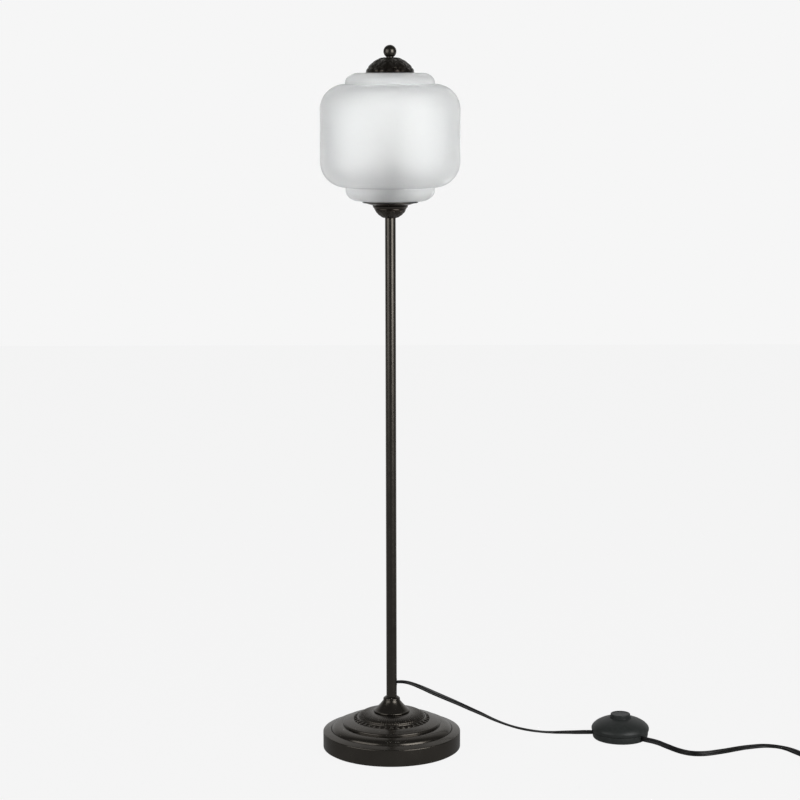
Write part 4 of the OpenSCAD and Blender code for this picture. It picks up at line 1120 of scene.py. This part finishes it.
def plug_body():
    """The plug's body, which widens from its neck, with a ribbed grip and a rounded end."""
    y0 = PLUG_AT[1] + RELIEF_LEN
    length = high("plug_body").y - y0
    half_w, half_t = radius("plug_body"), high("plug_body").z / 2
    rings = [plug_ring(y0, 6.2, 5.6, 2.2), plug_ring(y0 + 0.4, PLUG_NECK_W, 6, 2.4)]
    for i in range(1, PLUG_ROWS + 1):
        u = i / PLUG_ROWS
        widen = min(1, u / PLUG_FULL_FROM)
        w = PLUG_NECK_W + (half_w - PLUG_NECK_W) * widen * widen * (3 - 2 * widen)
        on_grip = (u - GRIP_FROM) / GRIP_LEN
        grip = GRIP_DEPTH * ripple(on_grip, GRIP_RIBS) if 0 < on_grip < 1 else 0
        edge = max(0, (u - PLUG_END_FROM) / (1 - PLUG_END_FROM))
        inset = PLUG_END_ROUND * (1 - math.sqrt(max(0, 1 - edge * edge)))
        t = half_t - 0.6 * grip - inset
        rings.append(plug_ring(y0 + length * u, w - grip - inset, t, 2.4 + 1.4 * widen))
    stand_for(loft("plug_shell", rings, 50), plastic, "lamp", "plug_body")


def plug():
    """The moulded plug: a ribbed strain relief, a body with a grip, and two sleeved pins."""
    plug_body()
    ribs = [(0, 0), (CORD_W / 2 + 0.1, 0)]
    for i in range(RELIEF_ROWS + 1):
        u = i / RELIEF_ROWS
        r = RELIEF_FROM_R + (RELIEF_TO_R - RELIEF_FROM_R) * u
        rib = RELIEF_RIB_DEPTH * ripple(u, RELIEF_RIBS)
        ribs.append((r - rib, 0.2 + (RELIEF_LEN - 0.2) * u))
    ribs.append((0, RELIEF_LEN))
    at = Matrix.Translation((PLUG_AT[0], PLUG_AT[1], PLUG_Z))
    along = at @ Matrix.Rotation(-math.pi / 2, 4, "X")
    stand_for(lathe("plug_relief_ribbed", ribs, 64, along), plastic, "lamp", "plug_relief")

    tip = high("plug_pins").y - PLUG_AT[1]
    end = high("pin_sleeves").y - PLUG_AT[1]
    start = end - SLEEVE_LEN
    pin = filleted([(0, end), (PIN_R, end), (PIN_R, tip, 1.2), (0, tip)], 8)
    sleeve = filleted([(0, start), (SLEEVE_R, start), (SLEEVE_R, end, 0.3), (0, end)], 4)
    for name, side in (("left", -1), ("right", 1)):
        spot = Matrix.Translation((side * PIN_SPACING / 2, 0, 0)) @ along
        stand_for(lathe(f"pin_{name}", pin, 48, spot), nickel, "lamp", "plug_pins")
        stand_for(lathe(f"pin_sleeve_{name}", sleeve, 48, spot), plastic, "lamp", "pin_sleeves")


TIE_W = 9
TIE_T = 0.6
TIE_ROUND = 1.8
TIE_EDGE = 0.25


def coil_tie():
    """The strap round the coil's turns."""
    middle = (low("coil_tie") + high("coil_tie")) / 2
    half = (high("coil_tie") - low("coil_tie")) / 2

    def loop(inset):
        w, h = half.y - inset, half.z - inset
        return filleted([(y, z, TIE_ROUND) for y, z in ((w, h), (-w, h), (-w, -h), (w, -h))], 6)

    sides = [-TIE_W / 2, TIE_EDGE - TIE_W / 2, TIE_W / 2 - TIE_EDGE, TIE_W / 2]
    rings = []
    for line, xs in ((loop(0), sides), (loop(TIE_T), sides[::-1])):
        for x in xs:
            rings.append([(middle.x + x, middle.y + y, middle.z + z) for y, z in line])
    faces = grid_faces(len(rings), len(rings[0]), closed_rows=True)
    piece = add_mesh("strap", np.array(rings).reshape(-1, 3), faces, 50)
    stand_for(piece, webbing, "lamp", "coil_tie")


# ---- Studio ----

# What the camera sees of the backdrop and of the floor
PALE = 0.9216
FLOOR_GLOW = 0.895
FLOOR_HALF = 4.0
FLOOR_MATTE = 0.05
# The light through the glass, and the light that the surfaces reflect, fade along Y from a
# near place to a far one: near, far, dim, bright
FLOOR_THROUGH = (-0.3, 0.8, 0.3, 2.1)
FLOOR_REFLECTED = (-0.3, 1.2, 0.13, 0.4)
SKY_THROUGH = (0.2, 0.85, 0.34, 2.3)
SKY_REFLECTED = (0.3, 0.95, 0.06, 0.46)
SOFTBOX_AIM = (0, 0, 0.62)
SOFTBOX_UP = 12  # degrees
SOFTBOX_AWAY = 2.1


def softbox(name, azimuth, size, power):
    """A soft light that looks at the lantern. Azimuth 0 is on the camera's side."""
    a, e = math.radians(azimuth), math.radians(SOFTBOX_UP)
    out = Vector((math.sin(a) * math.cos(e), -math.cos(a) * math.cos(e), math.sin(e)))
    light = bpy.data.lights.new(name, "AREA")
    light.shape = "RECTANGLE"
    light.size, light.size_y = size
    light.energy = power
    piece = bpy.data.objects.new(name, light)
    bpy.context.scene.collection.objects.link(piece)
    piece.location = Vector(SOFTBOX_AIM) + out * SOFTBOX_AWAY
    piece.rotation_euler = (-out).to_track_quat("-Z", "Y").to_euler()


def fade(owner, source, near, far, dim, bright):
    """A value that rises smoothly from dim to bright along a coordinate's Y."""
    split = add_node(owner, "ShaderNodeSeparateXYZ")
    link(owner, source, split.inputs[0])
    along = split.outputs["Y"]
    return spread(owner, along, near, far, dim, bright, interpolation_type="SMOOTHSTEP")


def choose(owner, when, yes, no):
    """A value that is yes on one kind of ray and no on the others, each a number or a socket."""
    path = add_node(owner, "ShaderNodeLightPath")
    pick = add_node(owner, "ShaderNodeMix")
    link(owner, path.outputs[when], pick.inputs[0])
    for socket, value in ((2, no), (3, yes)):
        if isinstance(value, float):
            pick.inputs[socket].default_value = value
        else:
            link(owner, value, pick.inputs[socket])
    return pick.outputs[0]


def light_of(owner, seen, behind_glass, reflected):
    """A strength for the camera, for the light that comes through the glass, and for the rest."""
    bounced = choose(owner, "Is Transmission Ray", behind_glass, reflected)
    return choose(owner, "Is Camera Ray", seen, bounced)


def pale_floor():
    """A pale floor that the camera sees without an edge, dimmer in front of the lamp."""
    material = bpy.data.materials.new("pale_floor")
    material.use_nodes = True
    material.node_tree.nodes.clear()
    place = add_node(material, "ShaderNodeTexCoord")
    glow = add_node(material, "ShaderNodeEmission")
    matte = add_node(material, "ShaderNodeBsdfDiffuse", [("Color", (FLOOR_MATTE,) * 3 + (1,))])
    both = add_node(material, "ShaderNodeAddShader")
    out = add_node(material, "ShaderNodeOutputMaterial")
    through = fade(material, place.outputs["Object"], *FLOOR_THROUGH)
    reflected = fade(material, place.outputs["Object"], *FLOOR_REFLECTED)
    strength = light_of(material, FLOOR_GLOW, through, reflected)
    link(material, strength, glow.inputs["Strength"])
    link(material, glow.outputs[0], both.inputs[0])
    link(material, matte.outputs[0], both.inputs[1])
    link(material, both.outputs[0], out.inputs["Surface"])
    half = FLOOR_HALF / MM
    corners = [(-half, -half, 0), (half, -half, 0), (half, half, 0), (-half, half, 0)]
    floor = add_mesh("floor", corners, [(0, 1, 2, 3)])
    dress(floor, material)


def studio():
    """A pale floor and backdrop, a dim room in front, and a softbox on each side."""
    pale_floor()
    world = bpy.data.worlds.new("studio")
    bpy.context.scene.world = world
    world.use_nodes = True
    world.node_tree.nodes.clear()
    place = add_node(world, "ShaderNodeTexCoord")
    sky = add_node(world, "ShaderNodeBackground", [("Color", (1, 1, 1, 1))])
    out = add_node(world, "ShaderNodeOutputWorld")
    through = fade(world, place.outputs["Generated"], *SKY_THROUGH)
    reflected = fade(world, place.outputs["Generated"], *SKY_REFLECTED)
    link(world, light_of(world, PALE, through, reflected), sky.inputs["Strength"])
    link(world, sky.outputs[0], out.inputs["Surface"])
    softbox("softbox_left", -54, (2.0, 1.8), 11.5)
    softbox("softbox_right", 44, (1.5, 1.8), 22)
    bpy.context.scene.view_settings.view_transform = "Standard"


# ---- The lamp ----

base_shell()
rosette()
neck()
husk()
gallery()
lantern()
dome()
ball()
lampholder()
bulb()
foot_switch()
plug()
coil_tie()
studio()

stand_for(lead_to_switch, sheath, "lamp", "cord_to_switch")
stand_for(lead_to_plug, sheath, "lamp", "cord_coil")
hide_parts("cord_from_switch", "cord_to_plug")
print("cord lengths:", round(length_of(to_switch), 4), round(length_of(to_plug), 4))
